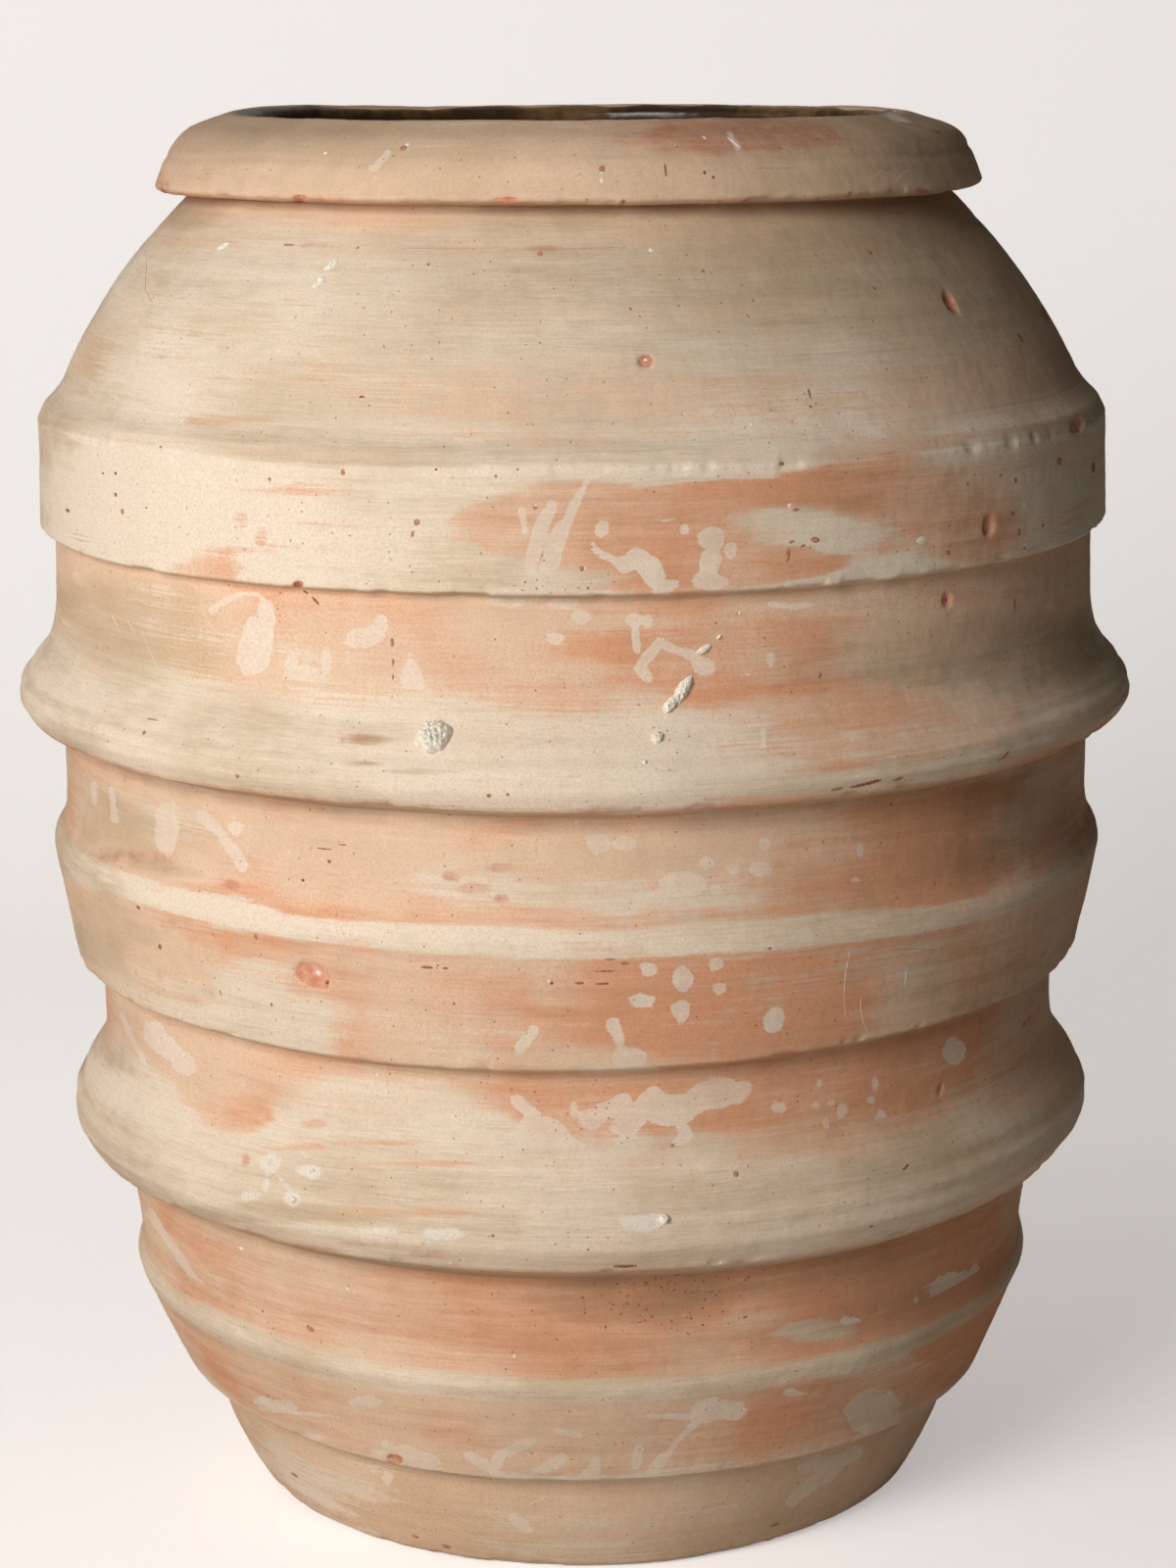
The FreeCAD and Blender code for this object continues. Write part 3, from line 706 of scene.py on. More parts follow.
DARK_FLECKS_AND_SHADE = {
    # The last collar dab is a line of painted shade under the edge of the glaze run at the mouth's right end
    "collar": (Dab(679, 173, 3, 14), Dab(719, 176, 4, 6), Dab(728, 181, 4, 5), Dab(892, 119, 18, 3)),
    "shoulder_course": (
        Dab(826, 402, 3, 18), Dab(892, 294, 5, 4, 40), Dab(827, 415, 4, 4), Dab(369, 405, 8, 4),
        Dab(437, 270, 4, 4),
    ),
    "shoulder_belt": (
        Dab(118, 483, 4, 5), Dab(118, 505, 4, 6), Dab(69, 521, 5, 5), Dab(105, 483, 3, 3),
        Dab(149, 518, 3, 3), Dab(164, 456, 3, 4), Dab(302, 597, 5, 5), Dab(445, 479, 4, 3),
        Dab(528, 479, 4, 3), Dab(600, 600, 4, 4),
    ),
    "upper_course": (
        Dab(312, 604, 10, 4, 40), Dab(322, 613, 13, 4, 45), Dab(965, 612, 4, 9), Dab(1035, 617, 2, 20),
    ),
    "upper_roll": (Dab(887, 799, 38, 5, -8), Dab(155, 734, 14, 2)),
    "high_belly_course": (
        Dab(336, 879, 5, 5), Dab(330, 866, 18, 2), Dab(349, 862, 11, 2), Dab(309, 898, 5, 4),
        Dab(637, 931, 2, 9), Dab(909, 821, 4, 4), Dab(652, 832, 9, 5), Dab(459, 830, 8, 6),
    ),
    "middle_belt": (
        Dab(141, 926, 5, 5), Dab(163, 966, 4, 8, 35), Dab(335, 1003, 7, 6), Dab(617, 991, 26, 2),
        Dab(614, 1004, 20, 3), Dab(563, 1003, 6, 5), Dab(591, 1003, 14, 4), Dab(436, 987, 18, 4),
        Dab(455, 988, 8, 4), Dab(225, 1013, 2, 9),
    ),
    "lower_roll": (Dab(638, 1292, 30, 4), Dab(925, 1190, 10, 3, -20), Dab(600, 1275, 3, 3)),
    "lower_course": (
        Dab(659, 1310, 8, 6), Dab(690, 1300, 10, 5), Dab(725, 1318, 6, 4), Dab(640, 1330, 5, 4),
    ),
}
LIME_FLECKS = {
    "collar": (
        Dab(416, 147, 5, 5), Dab(614, 176, 4, 4), Dab(614, 184, 5, 8), Dab(748, 144, 5, 14, -30),
        Dab(719, 140, 5, 4), Dab(332, 156, 5, 4),
    ),
    "shoulder_course": (
        Dab(659, 367, 6, 5), Dab(664, 255, 7, 6), Dab(767, 433, 5, 5), Dab(186, 429, 4, 8),
        Dab(691, 456, 9, 7),
    ),
    "shoulder_belt": (
        Dab(597, 580, 4, 4), Dab(547, 516, 3, 3), Dab(806, 516, 7, 6), Dab(940, 552, 14, 11),
    ),
    "upper_course": (Dab(755, 625, 4, 6),),
    "high_belly_course": (
        Dab(588, 839, 5, 4), Dab(295, 870, 4, 3), Dab(239, 835, 3, 3), Dab(168, 894, 5, 6),
    ),
    "middle_belt": (Dab(325, 993, 7, 7), Dab(560, 1001, 5, 5), Dab(469, 947, 4, 3)),
    "low_belly_course": (Dab(385, 1097, 4, 3), Dab(477, 1134, 4, 3)),
    "lower_roll": (Dab(408, 1289, 3, 3), Dab(460, 1289, 5, 3), Dab(736, 1289, 4, 3)),
    "lower_course": (Dab(246, 1274, 7, 5), Dab(354, 1315, 4, 3), Dab(525, 1384, 4, 4)),
}

# Hair-thin scratches by piece, each a line of pixels
PALE_SCRATCHES = {
    "shoulder_course": (((163, 283), (186, 290), (223, 314), (236, 336), (269, 353)),),
    "shoulder_belt": (
        ((243, 472), (250, 478), (256, 487)), ((89, 455), (110, 458), (129, 453), (150, 448)),
    ),
    "upper_course": (
        ((122, 613), (140, 611), (152, 618), (173, 621), (193, 624), (209, 622)),
        ((209, 627), (216, 640), (234, 653)), ((145, 646), (155, 669), (163, 688)),
        ((114, 628), (123, 646)), ((128, 628), (137, 646)),
    ),
    "middle_belt": (
        ((867, 972), (863, 992), (861, 1014), (863, 1040)),
        ((879, 1018), (878, 1030), (881, 1044), (887, 1055)), ((925, 990), (923, 1006)),
        ((122, 973), (145, 971), (163, 963)), ((129, 989), (139, 980), (150, 973)),
        ((1086, 940), (1074, 964), (1060, 992), (1040, 1008)),
    ),
    "lower_course": (((292, 1275), (299, 1285)),),
    "foot_course": (((556, 1528), (534, 1538)),),
    "collar": (((893, 181), (899, 174), (908, 177)), ((915, 186), (919, 178), (928, 174))),
}
DARK_SCRATCHES = {
    "shoulder_course": (
        ((150, 263), (148, 296), (156, 309)), ((402, 253), (450, 254), (515, 253)),
        ((535, 254), (590, 254), (640, 252)),
    ),
    "shoulder_belt": (
        ((69, 543), (82, 546), (94, 549)), ((72, 548), (84, 552), (93, 553)),
        ((893, 465), (906, 463), (918, 461)),
    ),
    "upper_course": (((374, 705), (390, 715), (408, 724)),),
    "high_belly_course": (((543, 944), (570, 945), (599, 944)),),
    "middle_belt": (((909, 969), (932, 968), (953, 970)),),
    "collar": (((767, 171), (790, 172), (811, 171)),),
}

# Lumps of old mortar, each with how high it stands
Lump = namedtuple("Lump", "dab high")
LUMPS = {
    "upper_roll": (
        Lump(Dab(443, 752, 37, 36, 20), 8 * MM), Lump(Dab(671, 753, 14, 14), 3 * MM),
        Lump(Dab(658, 778, 6, 6), 1.5 * MM),
    ),
    "upper_course": (
        Lump(Dab(697, 704, 40, 15, -55), 3 * MM), Lump(Dab(684, 719, 28, 13, -48), 3.5 * MM),
        Lump(Dab(718, 663, 20, 9, -28), 1.8 * MM), Lump(Dab(734, 650, 8, 5, -40), 1.2 * MM),
    ),
    "shoulder_course": (
        Lump(Dab(338, 270, 20, 11, -52), 1.6 * MM), Lump(Dab(326, 287, 20, 9, -58), 1.4 * MM),
        Lump(Dab(228, 251, 12, 10, -30), 1.2 * MM),
    ),
    "lower_roll": (
        Lump(Dab(275, 1186, 8, 8), 1.5 * MM), Lump(Dab(318, 1195, 9, 6, -20), 1.5 * MM),
        Lump(Dab(300, 1224, 8, 8), 1.5 * MM), Lump(Dab(678, 1244, 12, 13), 3 * MM),
    ),
}


def dab_reach(dab, x, y):
    """How many pixels inside a dab each point is, below zero outside it."""
    turn = math.radians(dab.tilt)
    along = (x - dab.x) * math.cos(turn) + (y - dab.y) * math.sin(turn)
    across = (y - dab.y) * math.cos(turn) - (x - dab.x) * math.sin(turn)
    return (1 - np.hypot(2 * along / dab.wide, 2 * across / dab.tall)) * min(dab.wide, dab.tall) / 2


def stroke_reach(stroke, x, y):
    """How many pixels inside a stroke each point is, below zero outside it."""
    nearest = np.full(len(x), np.inf)
    for start, end in zip(stroke.points, stroke.points[1:]):
        run = np.subtract(end, start)
        share = np.clip(((x - start[0]) * run[0] + (y - start[1]) * run[1]) / (run @ run), 0, 1)
        nearest = np.minimum(nearest, np.hypot(x - start[0] - share * run[0], y - start[1] - share * run[1]))
    return stroke.wide / 2 - nearest


def marked(marks, x, y, wobble):
    """A field that is 0.5 on the marks' edges, up to 1 inside them and down to 0 outside them."""
    field = np.zeros(len(x))
    for mark in marks:
        is_stroke = isinstance(mark, Stroke)
        places = np.array(mark.points if is_stroke else [(mark.x, mark.y)])
        margin = 2 * MARK_EDGE + (mark.wide if is_stroke else max(mark.wide, mark.tall))
        low, high = places.min(axis=0) - margin, places.max(axis=0) + margin
        near = np.flatnonzero((x > low[0]) & (x < high[0]) & (y > low[1]) & (y < high[1]))
        reach = (stroke_reach if is_stroke else dab_reach)(mark, x[near], y[near])
        size = mark.wide if is_stroke else min(mark.wide, mark.tall)
        reach = reach + wobble[near] * min(1, size / STEADY_WIDTH)
        field[near] = np.maximum(field[near], np.clip(0.5 + reach / (2 * MARK_EDGE), 0, 1))
    return field


def wash_share(wash, x, y, ragged):
    """A soft patch with a streaky edge, 1 in the middle of the wash and 0 outside it."""
    share = np.hypot(2 * (x - wash.x) / wash.wide, 2 * (y - wash.y) / wash.tall)
    return 1 - smooth(*WASH_SHARES, share + ragged)


def washes_on(node):
    """A piece's own washes, and those of the wall above it if it carries one, each with its channel."""
    above = CLAY_NODES[CLAY_NODES.index(node) + 1] if node in BAND_TOPS else None
    for owner in (node, above):
        for channel, rows in WASHES.get(owner, {}).items():
            yield from ((channel, Wash(*row)) for row in rows)


# Splashes on the sides and the back, which the photograph doesn't show: in its scale, round from the middle
# of the back, and up from the floor

BACK_REACH = math.radians(100)
BACK_SEED = 1000
BACK_STROKE_CHANCE = 0.4
BACK_STROKE_LENGTHS = (15, 60)
BACK_STROKE_WIDTHS = (7, 20)
BACK_STROKE_BEND = 0.3
# Dabs lie in groups of one to four, and each differs from its group's size
BACK_DABS = (1, 5)
BACK_DAB_SIZES = (9, 26)
BACK_DAB_SPREAD = 0.9
BACK_DAB_WIDTH_SHARES = (0.7, 2.2)
BACK_DAB_HEIGHT_SHARES = (0.6, 1.2)
BACK_DAB_TILTS = (-40, 40)
BACK_SPLASHES = {
    "shoulder_belt": 9,
    "upper_course": 14,
    "high_belly_course": 16,
    "middle_belt": 14,
    "low_belly_course": 16,
    "lower_course": 8,
    "foot_belt": 16,
    "foot_course": 6,
}


def back_stroke(rng, x, y):
    lean, length = rng.uniform(0, math.pi), rng.uniform(*BACK_STROKE_LENGTHS)
    ways = ((0, 0), (lean + BACK_STROKE_BEND, length / 2), (lean, length))
    points = [(x + run * math.cos(way), y + run * math.sin(way)) for way, run in ways]
    return Stroke(rng.uniform(*BACK_STROKE_WIDTHS), points)


def back_dabs(rng, x, y):
    size = rng.uniform(*BACK_DAB_SIZES)
    for _ in range(rng.integers(*BACK_DABS)):
        place = rng.normal((x, y), size * BACK_DAB_SPREAD)
        wide = size * rng.uniform(*BACK_DAB_WIDTH_SHARES)
        tall = size * rng.uniform(*BACK_DAB_HEIGHT_SHARES)
        yield Dab(*place, wide, tall, rng.uniform(*BACK_DAB_TILTS))


def back_marks(node, radius, low, high):
    """Splashes like the front's, strewn over the part of a piece that faces away from the camera."""
    rng = np.random.default_rng(BACK_SEED + CLAY_NODES.index(node))
    marks = []
    for _ in range(BACK_SPLASHES.get(node, 0)):
        x = rng.uniform(-BACK_REACH, BACK_REACH) * radius * FRONT_SCALE
        y = rng.uniform(low, high) * FRONT_SCALE
        if rng.random() < BACK_STROKE_CHANCE:
            marks.append(back_stroke(rng, x, y))
        else:
            marks.extend(back_dabs(rng, x, y))
    return marks


# Relief of the clay

Groove = namedtuple("Groove", "height wide deep")
GROOVES = {
    "lower_roll": (
        Groove(0.254, 3 * MM, 0.9 * MM), Groove(0.268, 3 * MM, 1.0 * MM),
        Groove(0.281, 4.5 * MM, 2.4 * MM),
    ),
    "upper_roll": (
        Groove(0.549, 3 * MM, 1.0 * MM), Groove(0.560, 3.5 * MM, 1.8 * MM),
        Groove(0.574, 4 * MM, 0.9 * MM),
    ),
    "collar": (Groove(0.896, 2.5 * MM, 1.0 * MM),),
    "shoulder_course": (Groove(0.848, 3 * MM, 0.5 * MM),),
    "foot_belt": (Groove(0.138, 5 * MM, 0.6 * MM),),
}
# How a piece's grooves wander up and down and differ in strength, each read this far from the one before
GROOVE_WANDER = Field(7, 0, 43, 1, 2.2 * MM)
GROOVE_CHANGE = Field(6, 0, 47, 1, 0.5)
GROOVE_STRENGTH = 0.75
WANDER_APART = 9.7
CHANGE_APART = 5.3
# Half the width of the front that hands have worn, and the share of the grooves that is gone there
WORN_FRONT = 0.2
WORN_SHARE = 0.6
# Edges that are nibbled by wear, by their heights
WORN_EDGES = (0.003, 0.083, 0.242, 0.369, 0.532, 0.656, 0.727, 0.8745)
WEAR_REACH = 3.5 * MM
WEAR_DEPTH = 1.2 * MM
NIBBLES = Field(55, 55, 83, 2, 1)
NIBBLE_STEP = (0.15, 0.8)
# Traces of wiping, dents and grain all over
WIPING = Field(5, 170, 31, 2, 0.07 * MM)
DENTS = Field(22, 30, 37, 3, 0.45 * MM)
GRAIN = Field(260, 260, 41, 1, 0.10 * MM)
# A chip's floor and rim, on its mark's field
CHIP_STEP = (0.3, 0.8)


def grooves_of(node, true_points):
    """The finger grooves of a piece, each with how strong it is at each point."""
    side, back, height = true_points.T
    worn = WORN_SHARE * bell(side, WORN_FRONT) * (back < 0)
    for index, groove in enumerate(GROOVES.get(node, ())):
        wander = scattered(true_points, GROOVE_WANDER, index * WANDER_APART)
        strength = GROOVE_STRENGTH + scattered(true_points, GROOVE_CHANGE, index * CHANGE_APART)
        yield groove, strength * (1 - worn) * bell(height - groove.height - wander, groove.wide)


def relief(node, true_points):
    """How far the clay stands out of the true surface: wiping marks, dents, grain, grooves and wear."""
    total = sum(scattered(true_points, field) for field in (WIPING, DENTS, GRAIN))
    for groove, strength in grooves_of(node, true_points):
        total -= groove.deep * strength
    nibbled = WEAR_DEPTH * smooth(*NIBBLE_STEP, scattered(true_points, NIBBLES))
    for edge in WORN_EDGES:
        total -= nibbled * bell(true_points[:, 2] - edge, WEAR_REACH)
    return total


def hollows(node, x, y, wobble):
    """How deep the chips of a piece are at each point."""
    total = np.zeros(len(x))
    for chip in CHIPS.get(node, ()):
        total = np.maximum(total, chip.deep * smooth(*CHIP_STEP, marked([chip.dab], x, y, wobble)))
    return total


# Paint: soft fields that the clay materials read

# Heights from the floor up to the crest, each with the slip, the redness and the darkening of the clay
# there. The darkening peaks just under each band, where its underside meets the wall below: painted shade in
# that crease, together with a dirty film.
TONE_CHANNELS = ("slip", "warm", "grime_and_shade")
TONES = (
    (0.0000, 0.48, 0.34, 0.02), (0.0300, 0.38, 0.38, 0.00), (0.0729, 0.30, 0.42, 0.06),
    (0.0731, 0.30, 0.60, 0.15), (0.0840, 0.42, 0.66, 0.04), (0.0950, 0.20, 0.70, 0.04),
    (0.1250, 0.14, 0.72, 0.04), (0.1420, 0.30, 0.70, 0.03), (0.1490, 0.72, 0.60, 0.03),
    (0.1590, 0.72, 0.60, 0.05), (0.1650, 0.22, 0.75, 0.07), (0.1750, 0.10, 0.80, 0.07),
    (0.2000, 0.08, 0.76, 0.03), (0.2284, 0.06, 0.74, 0.16), (0.2286, 0.50, 0.60, 0.30),
    (0.2420, 0.50, 0.70, 0.10), (0.2520, 0.68, 0.60, 0.05), (0.2750, 0.76, 0.55, 0.03),
    (0.2950, 0.70, 0.58, 0.05), (0.3120, 0.40, 0.64, 0.02), (0.3300, 0.24, 0.66, 0.00),
    (0.3614, 0.14, 0.72, 0.06), (0.3616, 0.42, 0.60, 0.20), (0.3700, 0.44, 0.60, 0.04),
    (0.3900, 0.30, 0.58, 0.02), (0.4250, 0.26, 0.60, 0.02), (0.4400, 0.36, 0.62, 0.02),
    (0.4430, 0.80, 0.58, 0.01), (0.4560, 0.80, 0.58, 0.01), (0.4595, 0.30, 0.66, 0.08),
    (0.4640, 0.24, 0.64, 0.05), (0.4760, 0.24, 0.54, 0.04), (0.5000, 0.26, 0.42, 0.06),
    (0.5239, 0.16, 0.56, 0.12), (0.5241, 0.40, 0.60, 0.30), (0.5330, 0.50, 0.80, 0.05),
    (0.5420, 0.74, 0.60, 0.04), (0.5600, 0.86, 0.55, 0.00), (0.5760, 0.78, 0.55, 0.02),
    (0.5920, 0.50, 0.54, 0.01), (0.6100, 0.26, 0.48, 0.00), (0.6400, 0.20, 0.50, 0.00),
    (0.6534, 0.12, 0.58, 0.07), (0.6536, 0.60, 0.60, 0.20), (0.6580, 0.76, 0.60, 0.00),
    (0.6900, 0.76, 0.60, 0.00), (0.7240, 0.80, 0.60, 0.00), (0.7270, 0.92, 0.50, 0.00),
    (0.7290, 0.62, 0.40, 0.14), (0.7350, 0.62, 0.40, 0.14), (0.7380, 0.74, 0.45, 0.08),
    (0.7600, 0.48, 0.32, 0.12), (0.8200, 0.62, 0.28, 0.17), (0.8580, 0.54, 0.36, 0.20),
    (0.8704, 0.40, 0.50, 0.26), (0.8706, 0.20, 0.60, 0.26), (0.8760, 0.24, 0.42, 0.12),
    (0.8940, 0.14, 0.40, 0.08), (0.8975, 0.30, 0.26, 0.15), (0.9200, 0.26, 0.24, 0.15),
)
# The tones wander up and down, but not over a joint under a band, where they change at once
TONE_WANDER = Field(7, 18, 51, 3, 2.5 * MM)
TONE_JOINT_REACH = 14 * MM
# Patches and streaks of tone, by channel
CLOUDS = (
    ("slip", Field(9, 13, 53, 4, 0.16)),
    ("slip", Field(4, 70, 59, 3, 0.12)),
    ("warm", Field(6, 9, 61, 3, 0.28)),
    ("grime_and_shade", Field(5, 12, 67, 3, 0.16)),
)
# Rusty lines that go right round, from one height to another
Ring = namedtuple("Ring", "low high amount")
RUST_RINGS = {
    "lower_roll": Ring(0.240, 0.244, 0.45),
    "upper_roll": Ring(0.530, 0.535, 0.55),
    "collar": Ring(0.870, 0.8745, 0.35),
    "high_belly_course": Ring(0.515, 0.524, 0.20),
    "upper_course": Ring(0.645, 0.654, 0.15),
}
RING_EDGE = 2 * MM
# Dirt for a metre of a groove's depth
GROOVE_DIRT = 45
# The right side, painted darker and with less slip, as painted shade over its olive film: where it begins
# and ends, round the jar
SHADE_START = (math.radians(5), math.radians(50))
SHADE_END = (math.radians(110), math.radians(160))
SHADE_GRIME = 0.09
SHADE_SLIP = -0.12
CHANNELS = ("slip", "warm", "grime_and_shade", "rust", "splash", "chalk_and_glints", "bruise")


def ground_tones(true_points):
    """The tones of the clay before any marks, by channel."""
    height = true_points[:, 2]
    wander = scattered(true_points, TONE_WANDER)
    for joint in BAND_FEET:
        wander = wander * smooth(0, TONE_JOINT_REACH, np.abs(height - joint))
    levels, *amounts = np.array(TONES).T
    return {
        channel: np.interp(height + wander, levels, amount)
        for channel, amount in zip(TONE_CHANNELS, amounts)
    }


# What the camera makes of each point of a piece: its pixel, how far the clay there faces the camera, from -1
# to 1, and the same pixel for marks, which is nan where the clay faces away
Sight = namedtuple("Sight", "x y facing mark_x mark_y")
# Washes fade out behind the jar's outline, at this facing
WASH_END = -0.5


def painted(node, true_points, angle, sight, wobble):
    """The paint fields of a clay piece, by channel."""
    height = true_points[:, 2]
    radius = np.hypot(true_points[:, 0], true_points[:, 1])
    fields = {channel: np.zeros(len(angle)) for channel in CHANNELS}
    fields.update(ground_tones(true_points))
    for channel, field in CLOUDS:
        fields[channel] += scattered(true_points, field)
    # The right side: painted shade, as more of the dark film and less slip
    shaded = smooth(*SHADE_START, angle) * (1 - smooth(*SHADE_END, angle))
    fields["grime_and_shade"] += SHADE_GRIME * shaded
    fields["slip"] += SHADE_SLIP * shaded
    for groove, strength in grooves_of(node, true_points):
        fields["grime_and_shade"] += GROOVE_DIRT * groove.deep * strength
    if node in RUST_RINGS:
        low, high, amount = RUST_RINGS[node]
        above = smooth(low - RING_EDGE, low + RING_EDGE, height)
        fields["rust"] += amount * above * (1 - smooth(high - RING_EDGE, high + RING_EDGE, height))
    ragged = scattered(true_points, WASH_RAGS)
    fade = smooth(WASH_END, 0, sight.facing)
    for channel, wash in washes_on(node):
        fields[channel] += wash.amount * fade * wash_share(wash, sight.x, sight.y, ragged)
    front_marks = {"splash": SPLASHES.get(node, ()), "chalk_and_glints": CHALK_AND_GLINTS.get(node, ())}
    front_marks["bruise"] = [chip.dab for chip in CHIPS.get(node, ())]
    for channel, marks in front_marks.items():
        fields[channel] = marked(marks, sight.mark_x, sight.mark_y, wobble)
    round_back = (angle % (2 * math.pi) - math.pi) * radius * FRONT_SCALE
    strewn_marks = back_marks(node, radius.max(), height.min(), height.max())
    behind = marked(strewn_marks, round_back, height * FRONT_SCALE, wobble)
    fields["splash"] = np.maximum(fields["splash"], behind)
    return fields


# Materials


def colour(red, green, blue):
    """A colour given as screen values from 0 to 255, as a shader takes it."""
    screen = np.array((red, green, blue)) / 255
    linear = np.where(screen <= 0.04045, screen / 12.92, ((screen + 0.055) / 1.055) ** 2.4)
    return (*linear, 1.0)


class Shader:
    """A material under construction, with short ways to add and join its nodes."""

    def __init__(self, name):
        self.material = bpy.data.materials.new(name)
        self.material.use_nodes = True
        self.nodes = self.material.node_tree.nodes
        self.surface = self.nodes["Principled BSDF"]
        self.place = self.add("ShaderNodeTexCoord").outputs["Object"]

    def join(self, value, socket):
        """Links another socket into one, or sets a plain value on it."""
        if isinstance(value, bpy.types.NodeSocket):
            self.material.node_tree.links.new(value, socket)
        else:
            socket.default_value = value

    def add(self, kind, *values, **named):
        """A new node, with values for its first inputs in order, and for others by name."""
        node = self.nodes.new(kind)
        for key, value in (*enumerate(values), *named.items()):
            self.join(value, node.inputs[key])
        return node

    def field(self, name):
        node = self.add("ShaderNodeAttribute")
        node.attribute_name = name
        return node.outputs["Fac"]

    def noise(self, scale, detail, roughness, stretch=(1, 1, 1)):
        """Noise from 0 to 1 with so many waves to a metre, packed closer along each axis by the stretch."""
        mapping = self.add("ShaderNodeMapping", Vector=self.place, Scale=stretch)
        vector = mapping.outputs["Vector"]
        node = self.add("ShaderNodeTexNoise", Vector=vector, Scale=scale, Detail=detail, Roughness=roughness)
        return node.outputs["Fac"]

    def math(self, operation, *values):
        node = self.add("ShaderNodeMath", *values)
        node.operation = operation
        return node.outputs[0]

    def stirred(self, value, *swings):
        """A value with noises added, which swing about 0, each given with its amount."""
        for noise_value, amount in swings:
            value = self.math("ADD", value, self.math("MULTIPLY_ADD", noise_value, amount, -0.5 * amount))
        return value

    def weighted(self, *pairs):
        """The sum of values, each given with its weight."""
        total = 0.0
        for value, weight in pairs:
            total = self.math("MULTIPLY_ADD", value, weight, total)
        return total

    def ramp(self, value, low, high, interpolation="LINEAR"):
        """0 below low, 1 above high, and a slope between."""
        node = self.add("ShaderNodeMapRange", value, low, high)
        node.interpolation_type = interpolation
        return node.outputs["Result"]

    def step(self, value, low, high):
        """0 below low, 1 above high, and a smooth step between."""
        return self.ramp(value, low, high, "SMOOTHSTEP")

    def mix(self, factor, first, second, blend="MIX"):
        node = self.add("ShaderNodeMix", factor)
        node.data_type = "RGBA"
        node.blend_type = blend
        colours = [socket for socket in node.inputs if socket.type == "RGBA"]
        self.join(first, colours[0])
        self.join(second, colours[1])
        return next(socket for socket in node.outputs if socket.type == "RGBA")

    def finish(self, base, roughness, shine, height, bump_strength, bump_distance):
        """The material, with these values on its surface."""
        bump = self.add("ShaderNodeBump", Strength=bump_strength, Distance=bump_distance, Height=height)
        inputs = self.surface.inputs
        self.join(base, inputs["Base Color"])
        self.join(roughness, inputs["Roughness"])
        self.join(shine, inputs["Specular IOR Level"])
        self.join(bump.outputs["Normal"], inputs["Normal"])
        return self.material


SALMON = colour(231, 168, 130)
PEACH = colour(237, 202, 172)
TAN = colour(221, 188, 154)
CREAM = colour(243, 226, 204)
BEIGE = colour(222, 196, 164)
PALE = colour(243, 223, 202)
CHALK_WHITE = colour(240, 232, 218)
OLIVE = colour(126, 108, 82)
RUST_STAIN = colour(212, 144, 112)
FRESH_CLAY = colour(236, 172, 142)
OLD_CLAY = colour(208, 138, 108)
SOOT = colour(92, 72, 54)
WHITE = colour(255, 255, 255)
GRAIN_SHADE = colour(241, 237, 231)
CLAY_ROUGHNESS = 0.9
CLAY_SHINE = 0.15


Noises = namedtuple("Noises", "grain mottle cloud brushed fine_brushed hair hatched")


def clay_noises(shader):
    """The clay's noises, from its grain to the brush marks, which run round the jar."""
    return Noises(
        grain=shader.noise(620, 3, 0.7),
        mottle=shader.noise(75, 5, 0.62),
        cloud=shader.noise(14, 4, 0.55),
        brushed=shader.noise(5, 5, 0.6, (1, 1, 24)),
        fine_brushed=shader.noise(20, 4, 0.58, (1, 1, 28)),
        hair=shader.noise(45, 3, 0.6, (1, 1, 22)),
        hatched=shader.noise(30, 4, 0.6, (8, 8, 0.8)),
    )


def slip_on_clay(shader, noises, grime_and_shade):
    """Clay from tan to salmon, under ragged patches of slip."""
    _, mottle, cloud, brushed, fine_brushed, hair, hatched = noises
    tone = shader.stirred(shader.field("warm"), (brushed, 0.5), (hair, 0.4), (cloud, 0.8))
    clay = shader.mix(shader.step(tone, 0.0, 0.5), TAN, PEACH)
    clay = shader.mix(shader.step(tone, 0.5, 1.0), clay, SALMON)
    slip_tone = shader.stirred(grime_and_shade, (brushed, 0.25), (cloud, 0.5), (hair, 0.35))
    slip = shader.mix(shader.step(slip_tone, -0.10, 0.36), CREAM, BEIGE)
    ragged = shader.stirred(
        shader.field("slip"),
        (fine_brushed, 0.65), (hair, 0.5), (brushed, 0.4), (mottle, 0.4), (hatched, 0.15), (cloud, 0.3),
    )
    return shader.mix(shader.math("MULTIPLY", shader.step(ragged, 0.26, 0.62), 0.95), clay, slip)


def stained(shader, noises, grime_and_shade, coat):
    """A coat with splashes, rust, a dirty film and painted shade, lime and painted glints, and with broken
    spots.
    """
    grain, mottle, cloud, brushed, fine_brushed, hair, _ = noises
    splash = shader.stirred(shader.field("splash"), (mottle, 0.4), (fine_brushed, 0.6), (grain, 0.2))
    cover = shader.math("MULTIPLY_ADD", cloud, 1.1, 0.25)
    coat = shader.mix(shader.math("MULTIPLY", shader.step(splash, 0.40, 0.60), cover), coat, PALE)
    rust = shader.stirred(shader.field("rust"), (mottle, 1.0), (fine_brushed, 0.8))
    coat = shader.mix(shader.step(rust, 0.15, 1.15), coat, RUST_STAIN)
    # The olive film: a dirty patina, and painted shade on the right side and under the bands
    film_and_shade = shader.stirred(grime_and_shade, (mottle, 0.35), (brushed, 0.4), (hair, 0.25), (grain, 0.4))
    coat = shader.mix(shader.ramp(film_and_shade, 0.0, 1.15), coat, OLIVE)
    # Lime, and two painted glints on the glaze at the mouth's ends
    lime = shader.stirred(shader.field("chalk_and_glints"), (mottle, 1.0), (grain, 0.3))
    coat = shader.mix(shader.math("MULTIPLY", shader.step(lime, 0.30, 0.80), 0.75), coat, CHALK_WHITE)
    broken = shader.stirred(shader.field("bruise"), (mottle, 0.4), (grain, 0.2))
    torn = shader.mix(shader.step(mottle, 0.40, 0.62), FRESH_CLAY, OLD_CLAY)
    return shader.mix(shader.step(broken, 0.40, 0.60), coat, torn)


